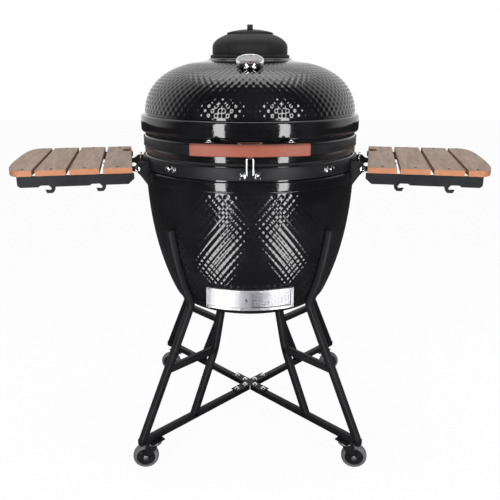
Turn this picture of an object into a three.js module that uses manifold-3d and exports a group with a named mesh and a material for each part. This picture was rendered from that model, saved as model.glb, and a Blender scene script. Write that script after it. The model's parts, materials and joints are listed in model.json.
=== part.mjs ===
// Kamado ceramic grill on a wheeled stand with two folding side tables.
// Millimetres, +Z up. The origin is on the floor under the middle of the grill, and -Y is the front.
import * as THREE from 'three';
import { mergeVertices } from 'three/addons/utils/BufferGeometryUtils.js';
import Module from 'manifold-3d';

const wasm = await Module();
wasm.setup();

// Driving dimensions: clearances
const seat = 0.3; // gap left where one piece rests on another
const runningGap = 0.6; // gap around a piece that turns or slides
const over = 5; // how far a cutting tool runs past the faces that it cuts

// Driving dimensions: ceramic body
const seamZ = 914.5; // parting plane between lid and bowl
const rimRadius = 312; // outer radius of both rims at the seam
const ceramicWall = 25;
const bowlBottomZ = 466;
const bowlBottomRadius = rimRadius - 112;
const bowlCornerRadius = rimRadius - 76;
const bowlCornerRise = 17;
const bowlNeckZ = seamZ - 73.5; // where the raised ring starts
const ringHeight = 31;
const ringProud = 5;
const ringRound = 4;
const gasketThickness = 3;
const gasketInset = 3;

// Driving dimensions: lid
const lidLipHeight = 45; // straight lip above the rim, which the steel band grips
const lidNeckRadius = rimRadius - 3;
const lidNeckHeight = 12;
const lidBulgeRadius = rimRadius + 8;
const lidBulgeHeight = 48;
const lidBulgeRound = 6;
const domeHeight = 142; // from the top of the bulge to the shoulder of the chimney
const domeShoulderRadius = 150;
const chimneyNeckRadius = 120;
const chimneyNeckRise = 10;
const chimneyBore = 62;

// Driving dimensions: steel bands
const bandThickness = 3.2;
const lidBandHeight = 26;
const lidBandInset = 18; // from the rim of the lid to the band
const bowlBandHeight = 33;
const bowlBandInset = 3;

// Driving dimensions: inside the bowl
const fireboxBottomRadius = rimRadius - 122;
const fireboxTopRadius = rimRadius - 60;
const fireboxHeight = 225;
const fireboxWall = 24;
const fireboxFloor = 22;
const grateLedge = 28;
const grateLedgeRise = 88;
const fireRingWall = 22;
const fireRingHeight = 128;
const grateThickness = 8;
const grateSlotPitch = 26;
const grateBarWidth = 9;
const grateRimWidth = 14;
const ashSlotPitch = 34;

// Driving dimensions: damper cap
const capFlangeRadius = 114;
const capFlangeHeight = 9;
const capRadius = 108;
const capSideHeight = 20;
const capCrown = 44; // rise of the dome above its side wall
const capWall = 7;
const wheelRadius = 66;
const wheelThickness = 4;
const ventInner = 20;
const ventOuter = 50;
const ventHalfAngle = 32;
const finWidth = 16;
const finLength = 92;
const finRise = 11;
const swingPinRadius = 5;
const swingPinInset = 18;

// Driving dimensions: thermometer
const dialRadius = 36;
const dialDepth = 15;
const dialRim = 4;
const dialRecess = 6;
const dialReach = 197; // distance of the dial's middle from the axis of the grill
const dialTilt = 69; // degrees that the face looks up
const dialLift = seamZ + 249;
const probeRadius = 4;
const probeLength = 70;
const needleLength = 24;
const needleWidth = 2.4;
const needleRest = 135; // degrees that a cold needle stands left of the top
const glassThickness = 1.6;

// Driving dimensions: handle
const handleSpan = 296;
const handleHeight = 30;
const handleDepth = 22;
const handleBow = 24;
const handleFront = rimRadius + 50;
const handleZ = seamZ + 42.5;
const postSpacing = 200;
const postWidth = 24;
const tabThickness = 3;

// Driving dimensions: rear hinge
const hingePinY = rimRadius + 33;
const hingePinRadius = 6;
const hingeBaseWidth = 156;
const hingeArmWidth = 108;
const hingePlate = 8;
const hingeEye = 14;
const springWall = 4;

// Driving dimensions: front latch
const latchWidth = 52;
const latchHeight = 18;
const latchDepth = 14;
const bailWire = 5;
const bailSpacing = 17;
const bailHeight = 42;
const catchWidth = 66;
const catchThickness = 2.5;
const clampAzimuth = 40;
const clampWidth = 38;
const clampHeight = 16;
const clampDepth = 12;

// Driving dimensions: draft slider
const draftRadius = rimRadius - 34.5; // outer face of the frame
const draftBottomZ = 503;
const draftHeight = 60;
const draftHalfAngle = 26.5;
const draftBorder = 8;
const draftFace = 2.3;
const draftRail = 2;
const panelThickness = 1.2;
const panelLap = 1; // degrees that the two panels pass each other
const draftHoleHalf = 95;
const draftHoleHeight = 38;

// Driving dimensions: casters
const wheelDiameter = 76;
const wheelWidth = 24;
const wheelBore = 5;
const casterTrail = 27;
const forkPlate = 3;
const crownRadius = 20;
const crownThickness = 8;
const casterClearance = 4.4; // from the wheel to the crown of its fork
const padThickness = 4;
const padSize = 46;

// Driving dimensions: stand
const tube = 20;
const tubeCentreZ = wheelDiameter + casterClearance + crownThickness + runningGap + padThickness + tube / 2;
const footRadius = 447; // end of each leg
const casterRadius = 404; // swivel axis
const bendRadius = rimRadius - 63;
const bendZ = 476;
const hookTopZ = seamZ - 187.5;
const hookGap = 1.6;
const innerFootRadius = 252;
const midJointRadius = 157;
const midBarZ = 300;
const propTopRadius = 118;
const crossArm = 75;
const crossWidth = 30;
const crossThickness = 3;

// Driving dimensions: side tables
const tableSweep = 11.5; // degrees that the outer end comes forward
const tableTopZ = seamZ - 12.5;
const slatThickness = 15;
const slatWidth = 75;
const slatPitch = 83.5;
const slatCount = 4;
const slatStart = rimRadius + 40; // inner edge of the first slat, from the axis of the grill
const slatLength = 437;
const tableShift = 22; // middle of the table behind the middle of the grill
const endSlatWidth = 70;
const endBulge = 32;
const notchRadius = 30;
const railHeight = 29;
const railThickness = 4;
const railInset = 8;
const crossBarHeight = 15;
const crossBarWidth = 8;
const pivotReach = rimRadius + 26;
const pivotDrop = 22;
const pivotRadius = 5;
const pivotEye = 8;
const armOffset = 75;
const armThickness = 5;
const gussetDrop = 66;
const hookDepth = 16;
const hookLength = 22;

const fine = 32; // facets round the large rings
const medium = 24;
const coarse = 10;

// ---- helpers -------------------------------------------------------------------------------

const radians = THREE.MathUtils.degToRad;

// A geometry with shared corners and every face pointing out.
function closed(geometry) {
  const plain = geometry.index ? geometry : geometry.clone();
  plain.deleteAttribute('normal');
  plain.deleteAttribute('uv');
  const merged = mergeVertices(plain, 1e-4);
  const corner = merged.attributes.position;
  const index = merged.index.array;
  const kept = [];
  const [a, b, c] = [new THREE.Vector3(), new THREE.Vector3(), new THREE.Vector3()];
  let volume = 0;
  for (let i = 0; i < index.length; i += 3) {
    const face = [index[i], index[i + 1], index[i + 2]];
    if (new Set(face).size < 3) {
      continue;
    }
    a.fromBufferAttribute(corner, face[0]);
    b.fromBufferAttribute(corner, face[1]);
    c.fromBufferAttribute(corner, face[2]);
    volume += a.dot(b.cross(c));
    kept.push(face);
  }
  if (volume < 0) {
    kept.forEach((face) => face.reverse());
  }
  merged.setIndex(kept.flat());
  return merged;
}

function toSolid(geometry) {
  const body = closed(geometry);
  return new wasm.Manifold(new wasm.Mesh({
    numProp: 3,
    vertProperties: new Float32Array(body.attributes.position.array),
    triVerts: new Uint32Array(body.index.array),
  }));
}

function toGeometry(solid) {
  const mesh = solid.getMesh();
  const geometry = new THREE.BufferGeometry();
  geometry.setAttribute('position', new THREE.BufferAttribute(mesh.vertProperties, 3));
  geometry.setIndex(new THREE.BufferAttribute(mesh.triVerts, 1));
  return geometry;
}

function cut(geometry, ...tools) {
  return toGeometry(tools.reduce((solid, tool) => solid.subtract(toSolid(tool)), toSolid(geometry)));
}

function join(...parts) {
  return toGeometry(parts.slice(1).reduce((solid, part) => solid.add(toSolid(part)), toSolid(parts[0])));
}

function common(geometry, ...tools) {
  return toGeometry(tools.reduce((solid, tool) => solid.intersect(toSolid(tool)), toSolid(geometry)));
}

// A box between two corners.
function box(x0, x1, y0, y1, z0, z1) {
  const geometry = new THREE.BoxGeometry(x1 - x0, y1 - y0, z1 - z0);
  return geometry.translate((x0 + x1) / 2, (y0 + y1) / 2, (z0 + z1) / 2);
}

// A cylinder along an axis, centred on a point.
function rod(axis, radius, length, centre, sides = coarse) {
  const geometry = new THREE.CylinderGeometry(radius, radius, length, sides);
  if (axis === 'x') {
    geometry.rotateZ(Math.PI / 2);
  }
  if (axis === 'z') {
    geometry.rotateX(Math.PI / 2);
  }
  return geometry.translate(...centre);
}

// A body of revolution about Z from [radius, height] points.
function turned(points, steps = fine) {
  const outline = points.map(([r, z]) => new THREE.Vector2(r, z));
  return new THREE.LatheGeometry(outline, steps).rotateX(Math.PI / 2);
}

// A ring of rectangular section.
function ring(inner, outer, z0, z1, steps = fine) {
  return turned([[inner, z0], [outer, z0], [outer, z1], [inner, z1], [inner, z0]], steps);
}

// Points along a cubic curve between [radius, height] points.
function curve(from, lead, trail, to, count) {
  const bezier = new THREE.CubicBezierCurve(...[from, lead, trail, to].map((p) => new THREE.Vector2(...p)));
  return bezier.getPoints(count).map((p) => [p.x, p.y]);
}

// A flat shape in the XZ plane, thickened along Y about the middle.
function plateXZ(points, thickness, middle = 0) {
  const shape = new THREE.Shape(points.map(([x, z]) => new THREE.Vector2(x, z)));
  const geometry = new THREE.ExtrudeGeometry(shape, { depth: thickness, bevelEnabled: false });
  return geometry.rotateX(Math.PI / 2).translate(0, middle + thickness / 2, 0);
}

// A wedge about -Y between two azimuths in degrees, measured from -Y towards +X.
function wedge(from, to, reach, z0, z1) {
  const tip = (degrees) => new THREE.Vector2(
    reach * Math.sin(radians(degrees)), -reach * Math.cos(radians(degrees)),
  );
  const shape = new THREE.Shape([new THREE.Vector2(0, 0), tip(from), tip((from + to) / 2), tip(to)]);
  return new THREE.ExtrudeGeometry(shape, { depth: z1 - z0, bevelEnabled: false }).translate(0, 0, z0);
}

// A square tube between two [radius, height] points of the XZ plane, with its ends rounded.
function strut(from, to, width = tube) {
  const [dx, dz] = [to[0] - from[0], to[1] - from[1]];
  const length = Math.hypot(dx, dz);
  const bar = new THREE.BoxGeometry(length, width, width).rotateY(-Math.atan2(dz, dx));
  bar.translate((from[0] + to[0]) / 2, 0, (from[1] + to[1]) / 2);
  const ends = [from, to].map(([x, z]) => rod('y', width / 2, width, [x, 0, z], 6));
  return join(bar, ...ends);
}

// ---- materials -----------------------------------------------------------------------------

function material(color, roughness, metalness) {
  return new THREE.MeshStandardMaterial({ color, roughness, metalness });
}

const glaze = () => material(0x08080a, 0.12, 0);
const blackSteel = () => material(0x101114, 0.45, 0.4);
const castIron = () => material(0x151516, 0.6, 0.5);
const chrome = () => material(0xd4d6da, 0.1, 1);
const brushed = () => material(0xb9babd, 0.32, 1);
const fireClay = () => material(0xb9a68c, 0.9, 0);
const felt = () => material(0x1b1b1b, 1, 0);
const redWood = () => material(0x7c3626, 0.5, 0);
const slatWood = () => material(0x9a6240, 0.6, 0);
const rubber = () => material(0x55575a, 0.75, 0);
const glass = () => material(0xe8eef0, 0.05, 0);

const grill = new THREE.Group();

function addTo(group, name, geometry, look) {
  const mesh = new THREE.Mesh(closed(geometry), look);
  mesh.name = name;
  group.add(mesh);
  return mesh;
}

function add(name, geometry, look) {
  return addTo(grill, name, geometry, look);
}

// ---- ceramic outlines ----------------------------------------------------------------------

const bowlRimZ = seamZ - gasketThickness - seat;
const lidRimZ = seamZ + gasketThickness + seat;
const bowlFloorZ = bowlBottomZ + ceramicWall;
const bulgeTopZ = lidRimZ + lidLipHeight + lidNeckHeight + lidBulgeHeight;
const shoulderZ = bulgeTopZ + domeHeight;
const chimneyTopZ = shoulderZ + chimneyNeckRise;

const bowlSide = { radius: rimRadius - 1, corner: bowlCornerRadius };

// Outside of the bowl from the flat bottom to the raised ring, grown by an offset.
function bowlOutside(offset = 0, count = 9) {
  const cornerZ = bowlBottomZ + bowlCornerRise;
  const side = bowlNeckZ - cornerZ;
  const wall = curve(
    [bowlSide.corner + offset, cornerZ],
    [bowlSide.corner + 30 + offset, cornerZ + side * 0.18],
    [bowlSide.radius - 4 + offset, cornerZ + side * 0.51],
    [bowlSide.radius + offset, bowlNeckZ],
    count,
  );
  const round = [bowlSide.corner - 10 + offset * 0.7, bowlBottomZ + 4 - offset * 0.7];
  return [[bowlBottomRadius, bowlBottomZ - offset], round, ...wall];
}

function bowlInside() {
  const cornerZ = bowlFloorZ + 6;
  const side = bowlNeckZ - cornerZ;
  return curve(
    [bowlSide.corner - ceramicWall - 3, cornerZ],
    [bowlSide.corner - ceramicWall + 30, cornerZ + side * 0.18],
    [bowlSide.radius - ceramicWall - 4, cornerZ + side * 0.51],
    [bowlSide.radius - ceramicWall, bowlNeckZ],
    6,
  );
}

function bowl() {
  const top = bowlNeckZ + ringHeight;
  const proud = bowlSide.radius + ringProud;
  const inside = bowlInside();
  const outline = [
    [0, bowlBottomZ],
    ...bowlOutside(),
    [proud - 1.5, bowlNeckZ + 1],
    [proud, bowlNeckZ + ringRound],
    [proud, top - ringRound],
    [proud - 1.5, top - 1],
    [bowlSide.radius, top],
    [bowlSide.radius, bowlRimZ],
    [bowlSide.radius - ceramicWall, bowlRimZ],
    ...inside.reverse(),
    [bowlSide.corner - ceramicWall - 14, bowlFloorZ],
    [0, bowlFloorZ],
  ];
  const middle = draftBottomZ + draftHeight / 2;
  const hole = box(
    -draftHoleHalf, draftHoleHalf, -rimRadius, -bowlBottomRadius + 15,
    middle - draftHoleHeight / 2, middle + draftHoleHeight / 2,
  );
  return cut(turned(outline), hole);
}

function lidOutside() {
  const lip = lidRimZ + lidLipHeight;
  const bulge = lip + lidNeckHeight;
  return [
    [rimRadius, lidRimZ],
    [rimRadius, lip],
    [lidNeckRadius, lip + 3],
    [lidNeckRadius, bulge],
    [lidBulgeRadius - 1, bulge + lidBulgeRound],
    [lidBulgeRadius, bulge + lidBulgeRound * 2],
    [lidBulgeRadius, bulgeTopZ - lidBulgeRound * 2],
    [lidBulgeRadius - 2, bulgeTopZ - lidBulgeRound],
    ...curve(
      [rimRadius - 4.5, bulgeTopZ + 1],
      [rimRadius - 6, bulgeTopZ + domeHeight * 0.38],
      [rimRadius - 38, bulgeTopZ + domeHeight * 0.87],
      [domeShoulderRadius, shoulderZ],
      10,
    ),
    ...curve(
      [domeShoulderRadius - 14, shoulderZ + 1.6],
      [domeShoulderRadius - 22, shoulderZ + 3],
      [chimneyNeckRadius, shoulderZ + 5],
      [chimneyNeckRadius - 2, chimneyTopZ],
      3,
    ),
  ];
}

const dialNormal = new THREE.Vector3(0, -Math.cos(radians(dialTilt)), Math.sin(radians(dialTilt)));
const dialCentre = new THREE.Vector3(0, -dialReach, dialLift);

// Puts a piece that was built about Z onto the axis of the thermometer.
function ontoDial(geometry) {
  const turn = new THREE.Quaternion().setFromUnitVectors(new THREE.Vector3(0, 0, 1), dialNormal);
  return geometry.applyQuaternion(turn).translate(...dialCentre.toArray());
}

function lid() {
  const innerRim = rimRadius - ceramicWall;
  const outline = [
    ...lidOutside(),
    [chimneyBore, chimneyTopZ],
    [chimneyBore, shoulderZ - ceramicWall + 6],
    ...curve(
      [domeShoulderRadius - 10, shoulderZ - ceramicWall + 1],
      [rimRadius - 60, bulgeTopZ + domeHeight * 0.72],
      [rimRadius - 31, bulgeTopZ + domeHeight * 0.3],
      [rimRadius - 30, bulgeTopZ - 6],
      6,
    ),
    [innerRim, bulgeTopZ - lidBulgeHeight],
    [innerRim, lidRimZ],
    [rimRadius, lidRimZ],
  ];
  const probeHole = ontoDial(rod('z', probeRadius + 1, probeLength * 2, [0, 0, 0]));
  return cut(turned(outline), probeHole);
}

// ---- inside the bowl -----------------------------------------------------------------------

const fireboxZ = bowlFloorZ + seat;
const fireboxTopZ = fireboxZ + fireboxHeight;
const ledgeZ = fireboxZ + grateLedgeRise;
const ledgeOuter = fireboxBottomRadius + (fireboxTopRadius - fireboxBottomRadius)
  * (grateLedgeRise / fireboxHeight) - fireboxWall;
const fireRingZ = fireboxTopZ + seat;
const cookingZ = fireRingZ + fireRingHeight + seat;

function firebox() {
  const wellRadius = ledgeOuter - grateLedge;
  const outline = [
    [0, fireboxZ],
    [fireboxBottomRadius, fireboxZ],
    [fireboxTopRadius, fireboxTopZ],
    [fireboxTopRadius - fireboxWall, fireboxTopZ],
    [ledgeOuter, ledgeZ],
    [wellRadius, ledgeZ],
    [wellRadius, fireboxZ + fireboxFloor],
    [0, fireboxZ + fireboxFloor],
  ];
  const mouthZ = fireboxZ + fireboxFloor;
  const mouth = box(
    -draftHoleHalf * 0.6, draftHoleHalf * 0.6, -rimRadius, -wellRadius + 20, mouthZ, mouthZ + 40,
  );
  return cut(turned(outline, medium), mouth);
}

function fireRing() {
  const inner = fireboxTopRadius - fireRingWall;
  return ring(inner, fireboxTopRadius, fireRingZ, fireRingZ + fireRingHeight, medium);
}

// A round grate with parallel slots and one bar across them.
function grate(radius, z, pitch, bar) {
  const reach = radius - grateRimWidth;
  const slot = pitch - bar;
  const count = Math.floor((reach - slot) / pitch);
  const slots = [];
  for (let i = -count; i <= count; i += 1) {
    const x = i * pitch;
    const half = Math.sqrt(reach ** 2 - (Math.abs(x) + slot / 2) ** 2);
    slots.push(box(x - slot / 2, x + slot / 2, -half, -bar / 2, z - over, z + grateThickness + over));
    slots.push(box(x - slot / 2, x + slot / 2, bar / 2, half, z - over, z + grateThickness + over));
  }
  const top = z + grateThickness;
  return cut(turned([[0, z], [radius, z], [radius, top], [0, top]]), ...slots);
}

// ---- bands, gaskets, hinge, handle, latch ----------------------------------------------------

const lidBandZ = lidRimZ + lidBandInset;
const lidBandInner = rimRadius + seat;
const lidBandOuter = lidBandInner + bandThickness;
const bowlBandZ = bowlRimZ - bowlBandInset - bowlBandHeight;
const bowlBandInner = bowlSide.radius + seat;
const bowlBandOuter = bowlBandInner + bandThickness;

function hingeBase() {
  const inner = bowlBandOuter + seat;
  const half = hingeBaseWidth / 2;
  const saddle = common(
    ring(inner, inner + 6, bowlBandZ + 2, bowlBandZ + bowlBandHeight - 4),
    box(-half, half, 0, rimRadius * 2, bowlBandZ, seamZ),
  );
  const rear = hingePinY + hingeEye + 3;
  const profile = [
    [rear, seamZ - hingeEye], [rear, seamZ + hingeEye - 2], [hingePinY - 6, seamZ + hingeEye],
    [inner + 8, bowlBandZ + bowlBandHeight], [inner - 18, bowlBandZ + 20], [inner - 18, bowlBandZ + 6],
  ];
  const cheeks = [-1, 1].map((side) => {
    const middle = side * (half - hingePlate / 2);
    const cheek = plateXZ(profile, hingePlate).rotateZ(Math.PI / 2).translate(middle, 0, 0);
    return cut(cheek, turned([[0, 0], [inner + 0.2, 0], [inner + 0.2, seamZ * 2], [0, seamZ * 2]]));
  });
  const bore = rod('x', hingePinRadius + seat, hingeBaseWidth + over * 2, [0, hingePinY, seamZ]);
  return cut(join(saddle, ...cheeks), bore);
}

function hingeArm() {
  const inner = lidBandOuter + seat;
  const half = hingeArmWidth / 2;
  const saddle = common(
    ring(inner, inner + 6, lidBandZ + 2, lidBandZ + lidBandHeight - 2),
    box(-half, half, 0, rimRadius * 2, lidBandZ, lidBandZ + lidBandHeight),
  );
  const top = lidBandZ + lidBandHeight - 2;
  const profile = [
    [inner - 6, lidBandZ + 4], [hingePinY - hingeEye + 2, seamZ + 4], [hingePinY - 8, seamZ - hingeEye + 2],
    [hingePinY + 6, seamZ - hingeEye + 2], [hingePinY + hingeEye - 2, seamZ], [inner + 18, top],
    [inner - 6, top],
  ];
  const arms = [-1, 1].map((side) => {
    const middle = side * (half - hingePlate / 2);
    const arm = plateXZ(profile, hingePlate).rotateZ(Math.PI / 2).translate(middle, 0, 0);
    return cut(arm, turned([[0, 0], [inner + 0.2, 0], [inner + 0.2, seamZ * 2], [0, seamZ * 2]]));
  });
  const bore = rod('x', hingePinRadius + runningGap, hingeArmWidth + over * 2, [0, hingePinY, seamZ]);
  return cut(join(saddle, ...arms), bore);
}

function hingePin() {
  const length = hingeBaseWidth + 10;
  return rod('x', hingePinRadius, length, [0, hingePinY, seamZ]);
}

// A return spring wound round the hinge pin between the arm and the cheek.
function hingeSpring(side) {
  const inner = hingePinRadius + runningGap;
  const from = hingeArmWidth / 2 + 1;
  const to = hingeBaseWidth / 2 - hingePlate - 1;
  const sleeve = ring(inner, inner + springWall, from, to, coarse);
  return sleeve.rotateY(side * Math.PI / 2).translate(0, hingePinY, seamZ);
}

const handleRadius = ((handleSpan / 2) ** 2 + handleBow ** 2) / (2 * handleBow);

// Distance that the bowed handle falls back at a distance from its middle.
function handleSag(x) {
  return handleRadius - Math.sqrt(handleRadius ** 2 - x ** 2);
}

function handleBar() {
  const arc = [];
  const steps = 12;
  for (let i = 0; i <= steps; i += 1) {
    const x = (i / steps - 0.5) * handleSpan;
    arc.push([x, handleSag(x) - handleFront]);
  }
  const front = arc.map(([x, y]) => new THREE.Vector2(x, y));
  const back = arc.map(([x, y]) => new THREE.Vector2(x, y + handleDepth)).reverse();
  const shape = new THREE.Shape([...front, ...back]);
  const options = {
    depth: handleHeight - 6, bevelEnabled: true, bevelThickness: 3, bevelSize: 3, bevelOffset: -3,
    bevelSegments: 1,
  };
  return new THREE.ExtrudeGeometry(shape, options).translate(0, 0, handleZ - handleHeight / 2 + 3);
}

function handlePost(side) {
  const x = side * postSpacing / 2;
  const barBack = handleDepth - handleFront + handleSag(postSpacing / 2 + postWidth / 2) + seat;
  const top = handleZ + handleHeight / 2 + seat;
  const low = lidBandZ + 4;
  const [left, right] = [x - postWidth / 2, x + postWidth / 2];
  const block = box(left, right, barBack, 0, low, lidBandZ + lidBandHeight - 2);
  const riser = box(left, right, barBack, barBack + 4, low, top + tabThickness);
  const tab = box(left, right, barBack - handleDepth * 0.8, barBack + 4, top, top + tabThickness);
  const drum = turned([[0, low - over], [lidBandOuter + seat, low - over], [lidBandOuter + seat, top + over],
    [0, top + over]]);
  return join(cut(block, drum), riser, tab);
}

function latchBracket() {
  const inner = bowlBandOuter + seat;
  const z0 = bowlBandZ + 8;
  const front = -(inner + latchDepth);
  const block = box(-latchWidth / 2, latchWidth / 2, front, -inner + 12, z0, z0 + latchHeight);
  const slot = box(-bailSpacing / 2 - bailWire, bailSpacing / 2 + bailWire, front - over, front + 9, z0 - over,
    z0 + latchHeight + over);
  const bore = rod(
    'x', bailWire / 2 + runningGap, bailSpacing + bailWire * 3, [0, front + 4.5, z0 + latchHeight / 2],
  );
  const drum = turned([[0, 0], [inner, 0], [inner, seamZ], [0, seamZ]]);
  return cut(block, slot, bore, drum);
}

// A wire loop that swings forward out of the latch bracket.
function latchBail() {
  const y = -(bowlBandOuter + seat + latchDepth) + 4.5;
  const z = bowlBandZ + 8 + latchHeight / 2;
  const radius = bailWire / 2;
  const legs = [-1, 1].map((side) => (
    rod('z', radius, bailHeight, [side * bailSpacing / 2, y, z + bailHeight / 2], 10)
  ));
  const width = bailSpacing + bailWire;
  const top = rod('x', radius, width, [0, y, z + bailHeight], 10);
  const pivot = rod('x', radius, width + bailWire * 1.4, [0, y, z], 10);
  return join(pivot, top, ...legs);
}

function lidCatch() {
  const inner = lidBandOuter + seat;
  const z0 = lidBandZ + 3;
  const z1 = lidRimZ + lidLipHeight + lidNeckHeight - 1;
  return common(
    ring(inner, inner + catchThickness, z0, z1),
    box(-catchWidth / 2, catchWidth / 2, -rimRadius * 2, 0, z0 - over, z1 + over),
  );
}

// A clamp that draws the ends of the bowl band together.
function bandClamp() {
  const inner = bowlBandOuter + seat;
  const middle = bowlBandZ + bowlBandHeight / 2 + 3;
  const [z0, z1] = [middle - clampHeight / 2, middle + clampHeight / 2];
  const lugs = [-1, 1].map((side) => {
    const near = side * 6;
    const far = side * clampWidth / 2 * 0.6;
    return box(Math.min(near, far), Math.max(near, far), -(inner + clampDepth), -inner + 4, z0, z1);
  });
  const bolt = rod('x', 3, clampWidth, [0, -(inner + clampDepth / 2 + 1), middle], 8);
  const drum = turned([[0, z0 - over], [inner, z0 - over], [inner, z1 + over], [0, z1 + over]]);
  return cut(join(bolt, ...lugs), drum);
}

// ---- thermometer -----------------------------------------------------------------------------

function thermometerCase() {
  const half = dialDepth / 2;
  return ontoDial(turned([
    [0, -probeLength], [probeRadius, -probeLength], [probeRadius, -half], [dialRadius - 3, -half],
    [dialRadius, -half + 3], [dialRadius, half - 2], [dialRadius - 2, half], [dialRadius - dialRim, half],
    [dialRadius - dialRim, half - dialRecess], [0, half - dialRecess],
  ], medium));
}

function thermometerNeedle() {
  const z = dialDepth / 2 - dialRecess + seat;
  const blade = box(-needleWidth / 2, needleWidth / 2, -needleLength * 0.3, needleLength, z, z + 1);
  const hub = rod('z', 3, 1, [0, 0, z + 0.5], 10);
  return ontoDial(join(blade, hub).rotateZ(radians(needleRest)));
}

function thermometerGlass() {
  const radius = dialRadius - dialRim - seat;
  const top = dialDepth / 2 - 0.5;
  return ontoDial(rod('z', radius, glassThickness, [0, 0, top - glassThickness / 2], medium));
}

// ---- damper cap ------------------------------------------------------------------------------

const capBaseZ = chimneyTopZ + seat;
const capZ = capBaseZ + capFlangeHeight + seat;
const capShoulderZ = capZ + capSideHeight;
const swingPinY = capRadius - swingPinInset;

// Height of the outside of the dome above its shoulder.
function crownHeight(radius, rise = capCrown, span = capRadius) {
  return rise * Math.sqrt(1 - (radius / span) ** 2);
}

// Points of the dome from one radius inwards to another, moved by an offset.
function crown(from, to, offset, count) {
  const points = [];
  for (let i = 0; i <= count; i += 1) {
    const r = from + (to - from) * i / count;
    points.push([r, capShoulderZ + crownHeight(r) + offset]);
  }
  return points;
}

function damperBase() {
  const collar = chimneyBore - 2;
  const body = turned([
    [collar - 8, capBaseZ - 20], [collar, capBaseZ - 20], [collar, capBaseZ], [capFlangeRadius, capBaseZ],
    [capFlangeRadius, capBaseZ + capFlangeHeight - 2], [capFlangeRadius - 2, capBaseZ + capFlangeHeight],
    [collar - 8, capBaseZ + capFlangeHeight], [collar - 8, capBaseZ - 20],
  ], medium);
  const pinHeight = capSideHeight + 6;
  const pin = rod('z', swingPinRadius, pinHeight, [0, swingPinY, capBaseZ + 2 + pinHeight / 2]);
  return join(body, pin);
}

function ventTools(clear) {
  return [0, 180].map((turn) => {
    const shape = new THREE.Shape();
    const half = radians(ventHalfAngle + clear);
    shape.absarc(0, 0, ventOuter, -half, half, false);
    shape.absarc(0, 0, ventInner, half, -half, true);
    const options = { depth: capCrown + capSideHeight * 2, bevelEnabled: false, curveSegments: 4 };
    return new THREE.ExtrudeGeometry(shape, options).rotateZ(radians(turn)).translate(0, 0, capShoulderZ - 4);
  });
}

function damperDome() {
  const inner = capRadius - capWall;
  const shell = turned([
    [inner, capZ], [capRadius - 1.5, capZ], [capRadius, capZ + 2],
    ...crown(capRadius, 0, 0, 8),
    [0, capShoulderZ + capCrown - capWall],
    [inner * 0.6, capShoulderZ + crownHeight(inner * 0.6) - capWall * 1.4],
    [inner * 0.9, capShoulderZ + crownHeight(inner * 0.9) - capWall * 1.6],
    [inner, capShoulderZ], [inner, capZ],
  ], medium);
  const boss = rod('z', swingPinRadius + 7, capSideHeight, [0, swingPinY, capZ + capSideHeight / 2]);
  const depth = capSideHeight + 2;
  const socket = rod('z', swingPinRadius + runningGap, depth, [0, swingPinY, capZ + depth / 2 - 4]);
  const top = [0, swingPinY, capZ + capSideHeight + 1];
  const clearTop = rod('z', swingPinRadius + runningGap, 10, top);
  return cut(join(shell, boss), socket, clearTop, ...ventTools(0));
}

// The wheel that turns on top of the dome and opens or shuts the two vents.
function daisyWheel() {
  const gap = runningGap;
  const disc = turned([
    [0, capShoulderZ + capCrown + gap],
    ...crown(0, wheelRadius, gap, 4).slice(1),
    ...crown(wheelRadius, 0, gap + wheelThickness, 4),
  ], medium);
  const top = capShoulderZ + capCrown + gap + wheelThickness;
  const block = box(-finWidth / 2, finWidth / 2, -finLength / 2, finLength / 2, capShoulderZ + capCrown * 0.7,
    top + finRise - 5);
  const ridge = rod('y', finWidth / 2 - 1, finLength, [0, 0, top + finRise - finWidth / 2 + 1], 12);
  const under = turned([
    [0, capShoulderZ - over], [wheelRadius, capShoulderZ - over],
    ...crown(wheelRadius, 0, gap + 1, 4),
  ], medium);
  const fin = cut(join(block, ridge), under);
  return cut(join(disc, fin), ...ventTools(1).map((tool) => cut(tool, box(-finWidth / 2, finWidth / 2,
    -finLength, finLength, 0, top * 2))));
}

// ---- draft slider ----------------------------------------------------------------------------

const draftTopZ = draftBottomZ + draftHeight;

function bowlCore(offset) {
  return turned([[0, bowlBottomZ - offset], ...bowlOutside(offset), [0, bowlNeckZ]]);
}

function draftFrame() {
  const railAngle = draftHalfAngle - 0.8;
  const windowAngle = draftHalfAngle - 2;
  const shell = common(
    ring(bowlBottomRadius, draftRadius, draftBottomZ, draftTopZ, fine * 2),
    wedge(-draftHalfAngle, draftHalfAngle, rimRadius * 2, draftBottomZ - over, draftTopZ + over),
  );
  const cavity = common(
    ring(
      bowlBottomRadius - over, draftRadius - draftFace, draftBottomZ + draftRail, draftTopZ - draftRail,
      fine * 2,
    ),
    wedge(-railAngle, railAngle, rimRadius * 2, draftBottomZ, draftTopZ),
  );
  const windowTool = wedge(
    -windowAngle, windowAngle, rimRadius * 2, draftBottomZ + draftBorder, draftTopZ - draftBorder,
  );
  return cut(shell, cavity, windowTool, bowlCore(seat));
}

// One curved panel on a track of the slider, between two azimuths.
function draftPanel(outer, from, to) {
  const z0 = draftBottomZ + draftRail + seat;
  const z1 = draftTopZ - draftRail - seat;
  return common(
    ring(outer - panelThickness, outer, z0, z1, fine * 2),
    wedge(from, to, rimRadius * 2, z0 - over, z1 + over),
  );
}

// ---- stand -----------------------------------------------------------------------------------

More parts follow.
